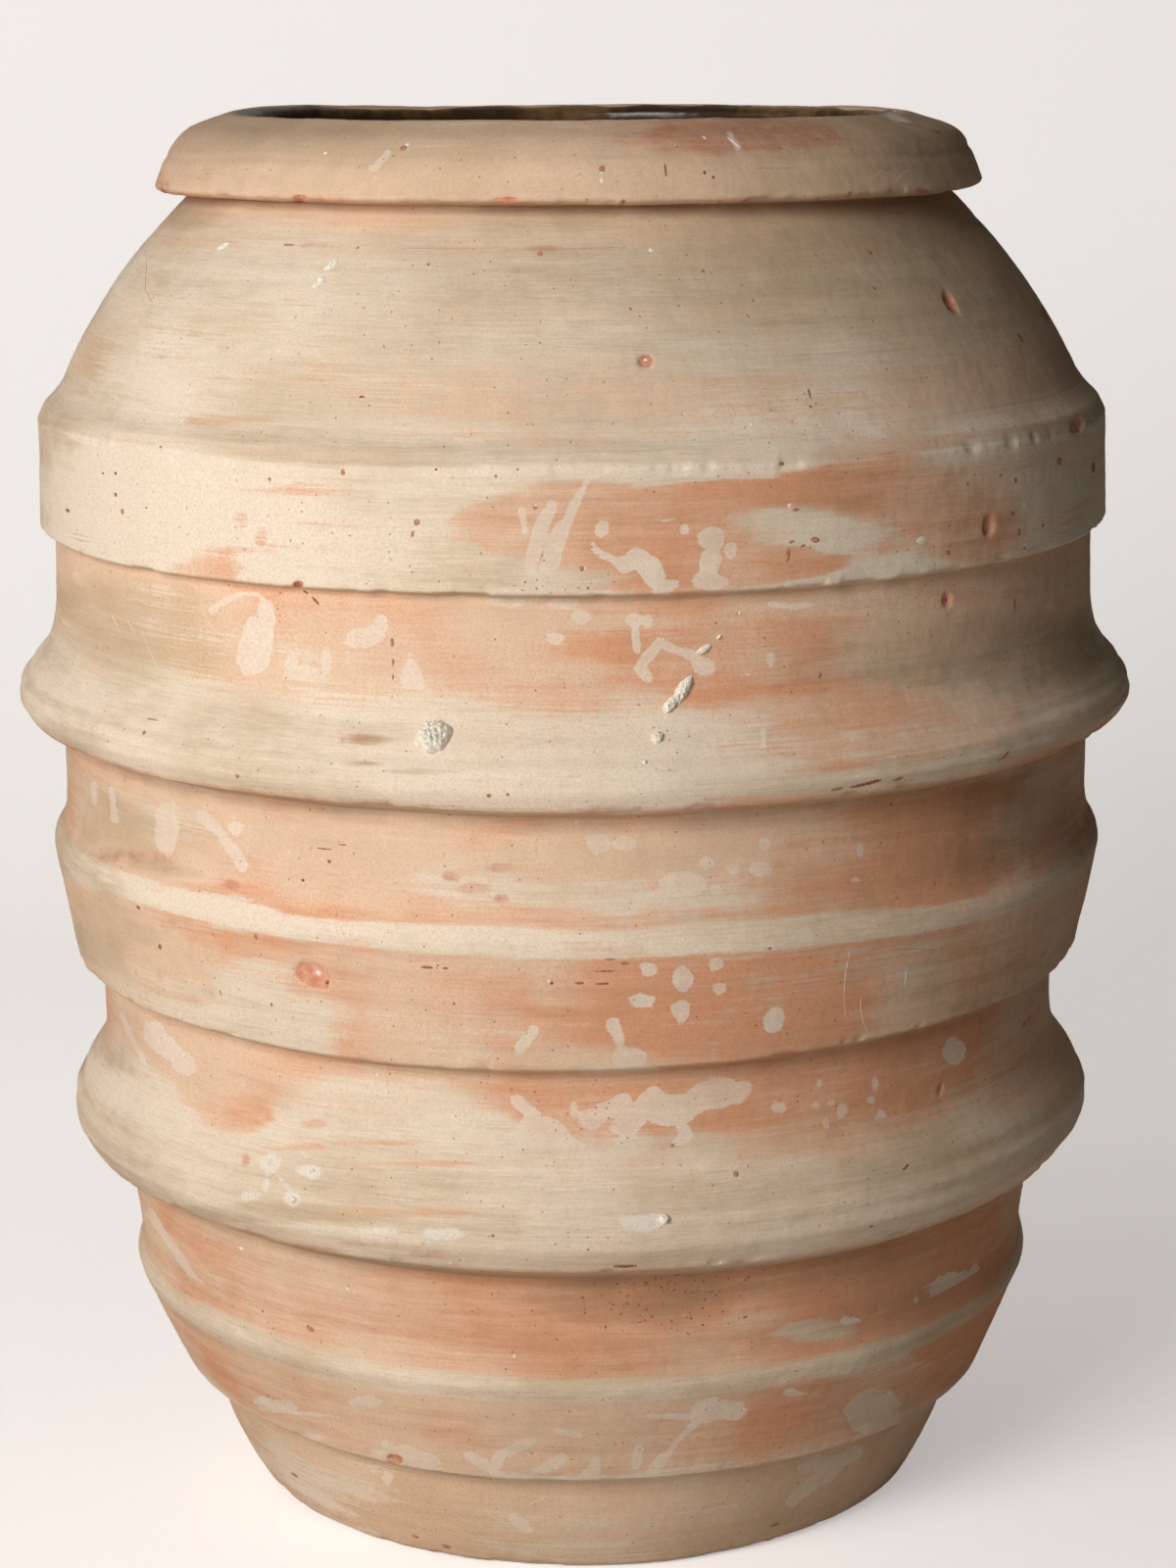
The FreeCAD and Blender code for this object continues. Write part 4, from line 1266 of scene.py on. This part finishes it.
def clay_material(name):
    """Worn terracotta under patches of slip, splashes, a dirty film and painted shade, which the paint fields
    place.
    """
    shader = Shader(name)
    noises = clay_noises(shader)
    grime_and_shade = shader.field("grime_and_shade")
    coat = stained(shader, noises, grime_and_shade, slip_on_clay(shader, noises, grime_and_shade))
    cells = shader.add("ShaderNodeTexVoronoi", Vector=shader.place, Scale=250).outputs
    chosen = shader.step(cells["Color"], 0.70, 0.85)
    speck = shader.math("MULTIPLY", shader.step(cells["Distance"], 0.22, 0.10), chosen)
    coat = shader.mix(shader.math("MULTIPLY", speck, 0.6), coat, SOOT)
    grainy = shader.mix(shader.step(noises.grain, 0.35, 0.6), GRAIN_SHADE, WHITE)
    coat = shader.mix(1.0, coat, grainy, "MULTIPLY")
    texture = shader.weighted((noises.grain, 0.7), (noises.fine_brushed, 0.15), (speck, -0.6))
    return shader.finish(coat, CLAY_ROUGHNESS, CLAY_SHINE, texture, 0.3, 0.5 * MM)


GLAZE_DARK = colour(58, 41, 25)
GLAZE_AMBER = colour(126, 94, 58)
GLAZE_ROUGHNESS = 0.24
GLAZE_SHINE = 0.3


def glaze_material():
    """Runny brown lead glaze: dark where it is thick, amber where it is thin."""
    shader = Shader("brown_glaze")
    runs = shader.noise(18, 5, 0.6, (1, 1, 0.35))
    fine = shader.noise(90, 4, 0.6)
    mixed = shader.stirred(shader.math("ADD", runs, shader.field("thin")), (fine, 0.4))
    base = shader.mix(shader.step(mixed, 0.45, 0.85), GLAZE_DARK, GLAZE_AMBER)
    return shader.finish(base, GLAZE_ROUGHNESS, GLAZE_SHINE, runs, 0.3, 1.5 * MM)


def speckled_material(name, main, other, scale):
    """A rough material of two mixed tones, for mortar, lime and the broken clay in pits."""
    shader = Shader(name)
    grains = shader.noise(scale, 4, 0.65)
    base = shader.mix(shader.step(grains, 0.38, 0.62), main, other)
    return shader.finish(base, CLAY_ROUGHNESS, CLAY_SHINE, grains, 0.5, 0.6 * MM)


# Meshes turned about the axis


def turn_angles(steps):
    """Angles round the jar, closest together on the side that faces the camera."""
    turn = np.linspace(-1, 1, steps, endpoint=False)
    return math.pi * (FRONT_STEP_SHARE * turn + (1 - FRONT_STEP_SHARE) * turn**3)


def turned_faces(row_count, steps, is_open):
    """Quads between neighbouring rows, and a fan at each end of an open outline."""
    step = np.arange(steps)
    after = (step + 1) % steps
    rows = np.arange(row_count - 1) if is_open else np.arange(row_count)
    low, high = rows[:, None] * steps, ((rows[:, None] + 1) % row_count) * steps
    quads = np.stack([low + step, low + after, high + after, high + step], axis=-1).reshape(-1, 4)
    if not is_open:
        return quads, np.zeros((0, 3), int)
    first_pole, last_pole = row_count * steps, row_count * steps + 1
    last = (row_count - 1) * steps
    fans = [
        np.stack([after, step, np.full(steps, first_pole)], axis=-1),
        np.stack([last + step, last + after, np.full(steps, last_pole)], axis=-1),
    ]
    return quads, np.vstack(fans)


def add_mesh(name, points, quads, triangles, material):
    mesh = bpy.data.meshes.new(name)
    corners = np.concatenate([quads.ravel(), triangles.ravel()]).astype(np.int32)
    sizes = np.concatenate([np.full(len(quads), 4), np.full(len(triangles), 3)])
    mesh.vertices.add(len(points))
    mesh.vertices.foreach_set("co", points.astype(np.float32).ravel())
    mesh.loops.add(len(corners))
    mesh.loops.foreach_set("vertex_index", corners)
    mesh.polygons.add(len(sizes))
    mesh.polygons.foreach_set("loop_start", (np.cumsum(sizes) - sizes).astype(np.int32))
    mesh.polygons.foreach_set("use_smooth", np.ones(len(sizes), bool))
    mesh.update(calc_edges=True)
    mesh.validate()
    mesh.set_sharp_from_angle(angle=CRISP_ANGLE)
    mesh.materials.append(material)
    piece = bpy.data.objects.new(name, mesh)
    bpy.context.scene.collection.objects.link(piece)
    return piece


def set_field(piece, name, values):
    attribute = piece.data.attributes.new(name, "FLOAT", "POINT")
    attribute.data.foreach_set("value", values.astype(np.float32))


def turned_grid(rows, angles):
    """Angle, radius, height, outward direction and bareness of every point of a turned mesh."""
    steps = len(angles)
    radius, height = (np.repeat(rows.points[:, axis], steps) for axis in (0, 1))
    return (
        np.tile(angles, len(rows.points)), radius, height,
        np.repeat(rows.outward, steps, axis=0), np.repeat(rows.bare, steps),
    )


def with_poles(points, rows):
    """The points of an open outline's mesh with one more on the axis at each end."""
    if not rows.is_open:
        return points
    return np.vstack([points, (0, 0, rows.points[0, 1]), (0, 0, rows.points[-1, 1])])


# What small pieces need in order to sit on a clay piece: its points, their outward directions and pixels
Seat = namedtuple("Seat", "points outward x y")
SEATS = {}


def add_clay(node, material):
    """A clay piece with its relief, its paint and the jar's errors."""
    rows = clay_rows(node)
    angle, radius, height, outward, bare = turned_grid(rows, turn_angles(TURN_STEPS))
    true_points = on_axis(angle, radius, height)
    outward_3d = on_axis(angle, outward[:, 0], outward[:, 1])
    rough = bent(angle, radius, height)
    x, y = photo_pixels(rough)
    toward = CAMERA_PLACE - rough
    facing = np.einsum("ij,ij->i", outward_3d, toward) / np.linalg.norm(toward, axis=1)
    shows = bare & (facing > 0)
    sight = Sight(x, y, facing, np.where(shows, x, np.nan), np.where(shows, y, np.nan))
    wobble = scattered(true_points, MARK_WOBBLE)
    stand_out = (relief(node, true_points) - hollows(node, sight.mark_x, sight.mark_y, wobble)) * bare
    points = bent(angle, radius + stand_out * outward[:, 0], height + stand_out * outward[:, 1])
    faces = turned_faces(len(rows.points), TURN_STEPS, rows.is_open)
    piece = add_mesh(f"clay_{node}", with_poles(points, rows), *faces, material)
    for channel, values in painted(node, true_points, angle, sight, wobble).items():
        extra = np.zeros(len(piece.data.vertices) - len(values))
        set_field(piece, channel, np.concatenate([values, extra]))
    shown = np.flatnonzero(bare)
    SEATS[node] = Seat(points[shown], outward_3d[shown], sight.mark_x[shown], sight.mark_y[shown])
    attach(piece, "root")
    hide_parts(node)


GLAZE_RUNS = Field(14, 4, 91, 3, 0.5 * MM)


def add_glaze(material):
    """The lining of glaze, with slow runs in its surface."""
    rows = lining_rows()
    angle, radius, height, outward, bare = turned_grid(rows, turn_angles(LINING_TURN_STEPS))
    runs = scattered(on_axis(angle, radius, height), GLAZE_RUNS) * bare
    points = bent(angle, radius + runs * outward[:, 0], height + runs * outward[:, 1])
    faces = turned_faces(len(rows.points), LINING_TURN_STEPS, True)
    piece = add_mesh("glaze_coat", with_poles(points, rows), *faces, material)
    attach(piece, "root")
    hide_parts("glaze_lining")


# The glaze over the mouth's edge: how far it reaches along the clay past the lining's top, and, in degrees,
# where it is low
LIP_REACH = 12 * MM
LIP_LEAST_REACH = 1 * MM
LIP_WAVES = Field(7, 0, 97, 4, 2.2 * MM)
LIP_START = -3 * MM
LIP_ROWS = 12
LIP_THICK = 1.1 * MM
LIP_THIN = 0.3 * MM
LIP_ROOT = -0.8 * MM
# The shares of the reach between which it grows thick, and how much amber shows at its upper line
LIP_GROWTH_SHARES = (0.75, 0.2)
LIP_AMBER = 0.35
LipDip = namedtuple("LipDip", "angle wide drop")
LIP_DIPS = (LipDip(-141, 13, 3 * MM), LipDip(118, 9, 3 * MM), LipDip(20, 25, 4 * MM))


def lip_reach(angle):
    """How far up the mouth's edge the glaze comes, round the jar."""
    ring = np.stack([np.sin(angle), np.cos(angle), np.zeros(len(angle))], axis=-1)
    reach = LIP_REACH + scattered(ring, LIP_WAVES)
    for dip in LIP_DIPS:
        turn = turn_from(angle, math.radians(dip.angle))
        reach = reach - dip.drop * bell(turn, math.radians(dip.wide))
    return np.maximum(reach, LIP_LEAST_REACH)


def add_glaze_lip(material):
    """The glaze that laps from the lining over the mouth's edge, up to a wavy line under the crest."""
    edge, outward = SKIN[SPANS["collar"]][::-1], SKIN_OUTWARD[SPANS["collar"]][::-1]
    arc = arc_lengths(edge)
    angles = turn_angles(TURN_STEPS)
    share = np.linspace(1, 0, LIP_ROWS)
    along = LIP_START + share[:, None] * (lip_reach(angles) - LIP_START)
    thick = LIP_THIN + (LIP_THICK - LIP_THIN) * smooth(*LIP_GROWTH_SHARES, share)
    thick[0] = thick[-1] = 0
    # The film's face from its upper line down, then its back from below up
    along = np.vstack([along, along[::-1]]).ravel()
    thick = np.repeat(np.concatenate([thick, np.full(LIP_ROWS, LIP_ROOT)]), TURN_STEPS)
    angle = np.tile(angles, 2 * LIP_ROWS)
    radius, height, out_r, out_z = (np.interp(along, arc, line) for line in (*edge.T, *outward.T))
    height = height + np.minimum(along, 0)
    stand_out = thick + relief("collar", on_axis(angle, radius, height))
    points = bent(angle, radius + stand_out * out_r, height + stand_out * out_z)
    piece = add_mesh("glaze_lip", points, *turned_faces(2 * LIP_ROWS, TURN_STEPS, False), material)
    thin = LIP_AMBER * np.concatenate([share, share[::-1]]) ** 3
    set_field(piece, "thin", np.repeat(thin, TURN_STEPS))
    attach(piece, "root")


# Small pieces that sit on the clay


def seat(node, x, y):
    """The point of a clay piece that the photograph shows at a pixel, and the way out of the clay there."""
    found = SEATS[node]
    nearest = np.nanargmin((found.x - x) ** 2 + (found.y - y) ** 2)
    point, outward = found.points[nearest], found.outward[nearest]
    ray = photo_ray(x, y)
    return CAMERA_PLACE + ray * ((point - CAMERA_PLACE) @ outward) / (ray @ outward), outward


def tangents(outward):
    """Unit directions to the right and up, along a surface with this outward direction."""
    right = np.cross((0, 0, 1), outward)
    right /= np.linalg.norm(right)
    return right, np.cross(outward, right)


Dome = namedtuple("Dome", "place outward wide tall tilt high")
LEAST_FORESHORTENING = 0.3
# How domes are made: rings and spokes of points, how lumpy they are and how deep their edge is in the clay
Grit = namedtuple("Grit", "rings spokes ruggedness sunk")
DOME_OUTLINE = Field(1.6, 0, 101, 2, 0.10)
DOME_LUMPS = Field(640, 0, 103, 3, 1)
# How far apart two domes of a piece read their lumps
DOMES_APART = np.array((3.1, 1.7, 0))


def dome_at(node, dab, high):
    """A dome that looks like a dab of the photograph, on the clay seen there."""
    place, outward = seat(node, dab.x, dab.y)
    ray = place - CAMERA_PLACE
    metres = np.linalg.norm(ray) / FOCAL_PIXELS
    ray = ray / np.linalg.norm(ray)
    spans = [math.sqrt(max(1 - (axis @ ray) ** 2, LEAST_FORESHORTENING**2)) for axis in tangents(outward)]
    return Dome(place, outward, dab.wide * metres / spans[0], dab.tall * metres / spans[1], dab.tilt, high)


def dome_points(dome, grit, index):
    """The middle of one rugged dome, the rings of points round it, and a last point under it."""
    right, up = tangents(dome.outward)
    share = np.repeat(np.linspace(0, 1, grit.rings), grit.spokes)
    turn = np.tile(np.arange(grit.spokes) * 2 * math.pi / grit.spokes, grit.rings)
    offset = index * DOMES_APART
    ring = np.stack([np.cos(turn), np.sin(turn), np.zeros(len(turn))], axis=-1)
    spread = share * (1 + scattered(ring, DOME_OUTLINE, offset))
    along = spread * np.cos(turn) * dome.wide / 2
    across = spread * np.sin(turn) * dome.tall / 2
    lean = math.radians(dome.tilt)
    side = along * math.cos(lean) - across * math.sin(lean)
    drop = along * math.sin(lean) + across * math.cos(lean)
    flat = np.stack([side, drop, np.zeros(len(turn))], axis=-1)
    lumps = 1 + grit.ruggedness * scattered(flat, DOME_LUMPS, offset)
    rise = dome.high * np.sqrt(np.maximum(1 - share**2, 0)) * lumps - grit.sunk * share**4
    moved = side[:, None] * right - drop[:, None] * up + rise[:, None] * dome.outward
    # All points of the first ring are the middle
    return np.vstack([dome.place + moved[grit.spokes - 1:], dome.place - 2 * grit.sunk * dome.outward])


def dome_faces(grit):
    """Faces of the points that dome_points gives: its rings, and a fan under it."""
    rings, spokes = grit.rings, grit.spokes
    step = np.arange(spokes)
    after = (step + 1) % spokes
    inner = 1 + np.arange(rings - 2)[:, None] * spokes
    outer = inner + spokes
    quads = np.stack([inner + after, outer + after, outer + step, inner + step], axis=-1).reshape(-1, 4)
    top = np.stack([np.zeros(spokes, int), 1 + after, 1 + step], axis=-1)
    last = 1 + (rings - 2) * spokes
    under = np.stack([last + step, last + after, np.full(spokes, last + spokes)], axis=-1)
    return quads, np.vstack([top, under])


def add_domes(name, domes, grit, material):
    """Many small domes as one piece."""
    points, quads, triangles = [], [], []
    ring_faces, fans = dome_faces(grit)
    for index, dome in enumerate(domes):
        start = sum(map(len, points))
        points.append(dome_points(dome, grit, index))
        quads.append(ring_faces + start)
        triangles.append(fans + start)
    piece = add_mesh(name, np.vstack(points), np.vstack(quads), np.vstack(triangles), material)
    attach(piece, "root")


FLECK_HIGH = 0.3 * MM
FLECK_GRIT = Grit(3, 11, 0.3, 0.25 * MM)
LUMP_GRIT = Grit(22, 64, 0.2, 2.2 * MM)
STREWN_SIZES = (1.5 * MM, 5 * MM)
STREWN_TILTS = (-60, 60)


def strewn(count, seed):
    """Domes of random size at random places on the clay that the photograph doesn't show."""
    rng = np.random.default_rng(seed)
    for node in rng.choice(CLAY_NODES[1:], count):
        found = SEATS[node]
        index = rng.choice(np.flatnonzero(np.isnan(found.x)))
        wide, tall = rng.uniform(*STREWN_SIZES, 2)
        tilt = rng.uniform(*STREWN_TILTS)
        yield Dome(found.points[index], found.outward[index], wide, tall, tilt, FLECK_HIGH)


def add_flecks(name, flecks, material, strewn_count, seed):
    domes = [dome_at(node, dab, FLECK_HIGH) for node, dabs in flecks.items() for dab in dabs]
    add_domes(name, [*domes, *strewn(strewn_count, seed)], FLECK_GRIT, material)


# Soot under the lower roll, by the middle and the spread of its specks
SOOT_MIDDLE = (672, 1322)
SOOT_SPREAD = (40, 20)
SOOT_SPECKS = 90
SOOT_SIZES = (1.5, 4)
SOOT_SEED = 204


def soot_specks():
    rng = np.random.default_rng(SOOT_SEED)
    places = rng.normal(SOOT_MIDDLE, SOOT_SPREAD, (SOOT_SPECKS, 2))
    return {"lower_course": [Dab(x, y, *rng.uniform(*SOOT_SIZES, 2)) for x, y in places]}


def add_mortar(material):
    domes = [dome_at(node, lump.dab, lump.high) for node, lumps in LUMPS.items() for lump in lumps]
    add_domes("mortar_lumps", domes, LUMP_GRIT, material)


SCRATCH_WIDE = 1.0 * MM
SCRATCH_HIGH = 0.16 * MM
SCRATCH_SUNK = 0.4 * MM
# Pixels between a scratch's points, and the share of its width that its ends have
SCRATCH_STEP = 5
SCRATCH_END_SHARE = 0.35


def scratch_line(node, pixels):
    """Points on the clay along a line of pixels, with the outward direction at each."""
    places = [seat(node, *pixels[0])]
    for start, end in zip(pixels, pixels[1:]):
        cuts = max(1, round(math.dist(start, end) / SCRATCH_STEP))
        run = np.subtract(end, start)
        places += [seat(node, *(start + run * cut / cuts)) for cut in range(1, cuts + 1)]
    return (np.array(part) for part in zip(*places))


def add_scratches(name, scratches, material):
    """Thin closed ridges along the scratches, which taper at both ends."""
    points, quads, triangles, start = [], [], [], 0
    ridges = [scratch_line(node, pixels) for node, lines in scratches.items() for pixels in lines]
    for line, outward in ridges:
        count = len(line)
        side = np.cross(np.gradient(line, axis=0), outward)
        side /= np.linalg.norm(side, axis=1, keepdims=True)
        taper = SCRATCH_END_SHARE + (1 - SCRATCH_END_SHARE) * np.sin(np.linspace(0, math.pi, count))
        half = SCRATCH_WIDE / 2 * taper[:, None]
        points.append(line + outward * SCRATCH_HIGH)
        points += [line + side * half * way - outward * SCRATCH_SUNK for way in (1, -1)]
        first = np.arange(count - 1)
        for low, high in ((0, 1), (1, 2), (2, 0)):
            low, high = start + low * count + first, start + high * count + first
            quads.append(np.stack([low, high, high + 1, low + 1], axis=-1))
        triangles.append(start + np.array([(0, 2 * count, count), (count - 1, 2 * count - 1, 3 * count - 1)]))
        start += 3 * count
    piece = add_mesh(name, np.vstack(points), np.vstack(quads), np.vstack(triangles), material)
    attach(piece, "root")


# Grains to a metre
PIT_GRAINS = 900
MORTAR_GRAINS = 700


def add_small_pieces():
    rust = speckled_material("rusty_pit", colour(208, 152, 118), colour(164, 110, 82), PIT_GRAINS)
    dark = speckled_material("dark_pit", SOOT, OLD_CLAY, PIT_GRAINS)
    lime = speckled_material("lime_grain", CHALK_WHITE, CREAM, PIT_GRAINS)
    mortar = speckled_material("old_mortar", colour(250, 244, 228), colour(216, 206, 184), MORTAR_GRAINS)
    add_flecks("rusty_pits", RUST_FLECKS, rust, strewn_count=110, seed=201)
    add_flecks("dark_pits_and_shade", DARK_FLECKS_AND_SHADE, dark, strewn_count=110, seed=202)
    add_flecks("lime_grains", LIME_FLECKS, lime, strewn_count=70, seed=203)
    add_flecks("soot_specks", soot_specks(), dark, strewn_count=0, seed=205)
    add_mortar(mortar)
    add_scratches("pale_scratches", PALE_SCRATCHES, lime)
    add_scratches("dark_scratches", DARK_SCRATCHES, rust)


# Stage and light

PAPER = colour(240, 236, 233)
# How bright the paper looks before any light falls on it, in front of the jar and GLOW_BEHIND it
FLOOR_GLOW = 0.485
PAPER_GLOW = 0.595
GLOW_BEHIND = 0.8
PAPER_BOUNCE = colour(216, 209, 200)
SKY_SEEN = 0.87
SKY_LIGHT = 0.035
# The sheet: its half width, the ends of its flat part, the radius of its bend and its top edge
PAPER_HALF_WIDTH = 7.0
PAPER_FRONT = -7.0
PAPER_BACK = 1.3
PAPER_BEND = 1.2
PAPER_TOP = 6.0
PAPER_BEND_POINTS = 25
# Windows, by place, size and power, which all face LAMP_TARGET
Lamp = namedtuple("Lamp", "name place wide tall watts")
LAMPS = (
    Lamp("key_window", (-1.60, -2.77, 1.85), 1.6, 1.5, 91),
    Lamp("side_window", (-3.0, -0.7, 1.0), 1.4, 1.6, 8),
)
LAMP_TARGET = Vector((0, 0, 0.5))


def paper_material():
    """Studio paper: pale, with its shadows kept, little light thrown back, and clear from behind."""
    shader = Shader("studio_paper")
    place = shader.add("ShaderNodeSeparateXYZ", shader.place)
    backward = shader.ramp(place.outputs["Y"], 0, GLOW_BEHIND)
    strength = shader.math("MULTIPLY_ADD", backward, PAPER_GLOW - FLOOR_GLOW, FLOOR_GLOW)
    glow = shader.add("ShaderNodeEmission", Color=PAPER, Strength=strength)
    face = shader.add("ShaderNodeBsdfDiffuse", Color=PAPER)
    seen = shader.add("ShaderNodeAddShader", glow.outputs[0], face.outputs[0])
    unseen = shader.add("ShaderNodeBsdfDiffuse", Color=PAPER_BOUNCE)
    by_camera = shader.add("ShaderNodeLightPath").outputs["Is Camera Ray"]
    front = shader.add("ShaderNodeMixShader", by_camera, unseen.outputs[0], seen.outputs[0])
    from_behind = shader.add("ShaderNodeNewGeometry").outputs["Backfacing"]
    clear = shader.add("ShaderNodeBsdfTransparent")
    sheet = shader.add("ShaderNodeMixShader", from_behind, front.outputs[0], clear.outputs[0])
    shader.nodes.remove(shader.surface)
    shader.join(sheet.outputs[0], shader.nodes["Material Output"].inputs["Surface"])
    return shader.material


def add_paper():
    """A sheet of paper that runs along the floor and up behind the jar in one curve."""
    line = [(PAPER_FRONT, 0.0)]
    for turn in np.linspace(0, math.pi / 2, PAPER_BEND_POINTS):
        line.append((PAPER_BACK + PAPER_BEND * math.sin(turn), PAPER_BEND - PAPER_BEND * math.cos(turn)))
    line.append((PAPER_BACK + PAPER_BEND, PAPER_TOP))
    points = np.array([(side * PAPER_HALF_WIDTH, y, z) for y, z in line for side in (-1, 1)])
    rows = np.arange(len(line) - 1)
    quads = np.stack([rows * 2, rows * 2 + 1, rows * 2 + 3, rows * 2 + 2], axis=-1)
    paper = add_mesh("studio_paper", points, quads, np.zeros((0, 3), int), paper_material())


def add_lamp(lamp):
    data = bpy.data.lights.new(lamp.name, "AREA")
    data.shape = "RECTANGLE"
    data.size, data.size_y = lamp.wide, lamp.tall
    data.energy = lamp.watts
    window = bpy.data.objects.new(lamp.name, data)
    window.location = lamp.place
    window.rotation_euler = (LAMP_TARGET - Vector(lamp.place)).to_track_quat("-Z", "Y").to_euler()
    bpy.context.scene.collection.objects.link(window)


def add_world():
    """A weak white sky that looks pale where it is seen."""
    world = bpy.data.worlds.new("studio")
    world.use_nodes = True
    nodes, links = world.node_tree.nodes, world.node_tree.links
    background = nodes["Background"]
    background.inputs["Color"].default_value = WHITE
    path = nodes.new("ShaderNodeLightPath")
    strength = nodes.new("ShaderNodeMapRange")
    links.new(path.outputs["Is Camera Ray"], strength.inputs["Value"])
    strength.inputs["To Min"].default_value = SKY_LIGHT
    strength.inputs["To Max"].default_value = SKY_SEEN
    links.new(strength.outputs["Result"], background.inputs["Strength"])
    bpy.context.scene.world = world


def add_light():
    for lamp in LAMPS:
        add_lamp(lamp)
    add_world()


def write_sizes():
    """Brings the view layer up to date."""
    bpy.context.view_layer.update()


def main():
    bpy.context.scene.view_settings.view_transform = "Standard"
    add_camera()
    bare = clay_material("bare_terracotta")
    slip_washed = clay_material("slip_washed_terracotta")
    for node in CLAY_NODES:
        add_clay(node, slip_washed if node in SLIP_WASHED_NODES else bare)
    glaze = glaze_material()
    add_glaze(glaze)
    add_glaze_lip(glaze)
    add_small_pieces()
    add_paper()
    add_light()
    write_sizes()


main()
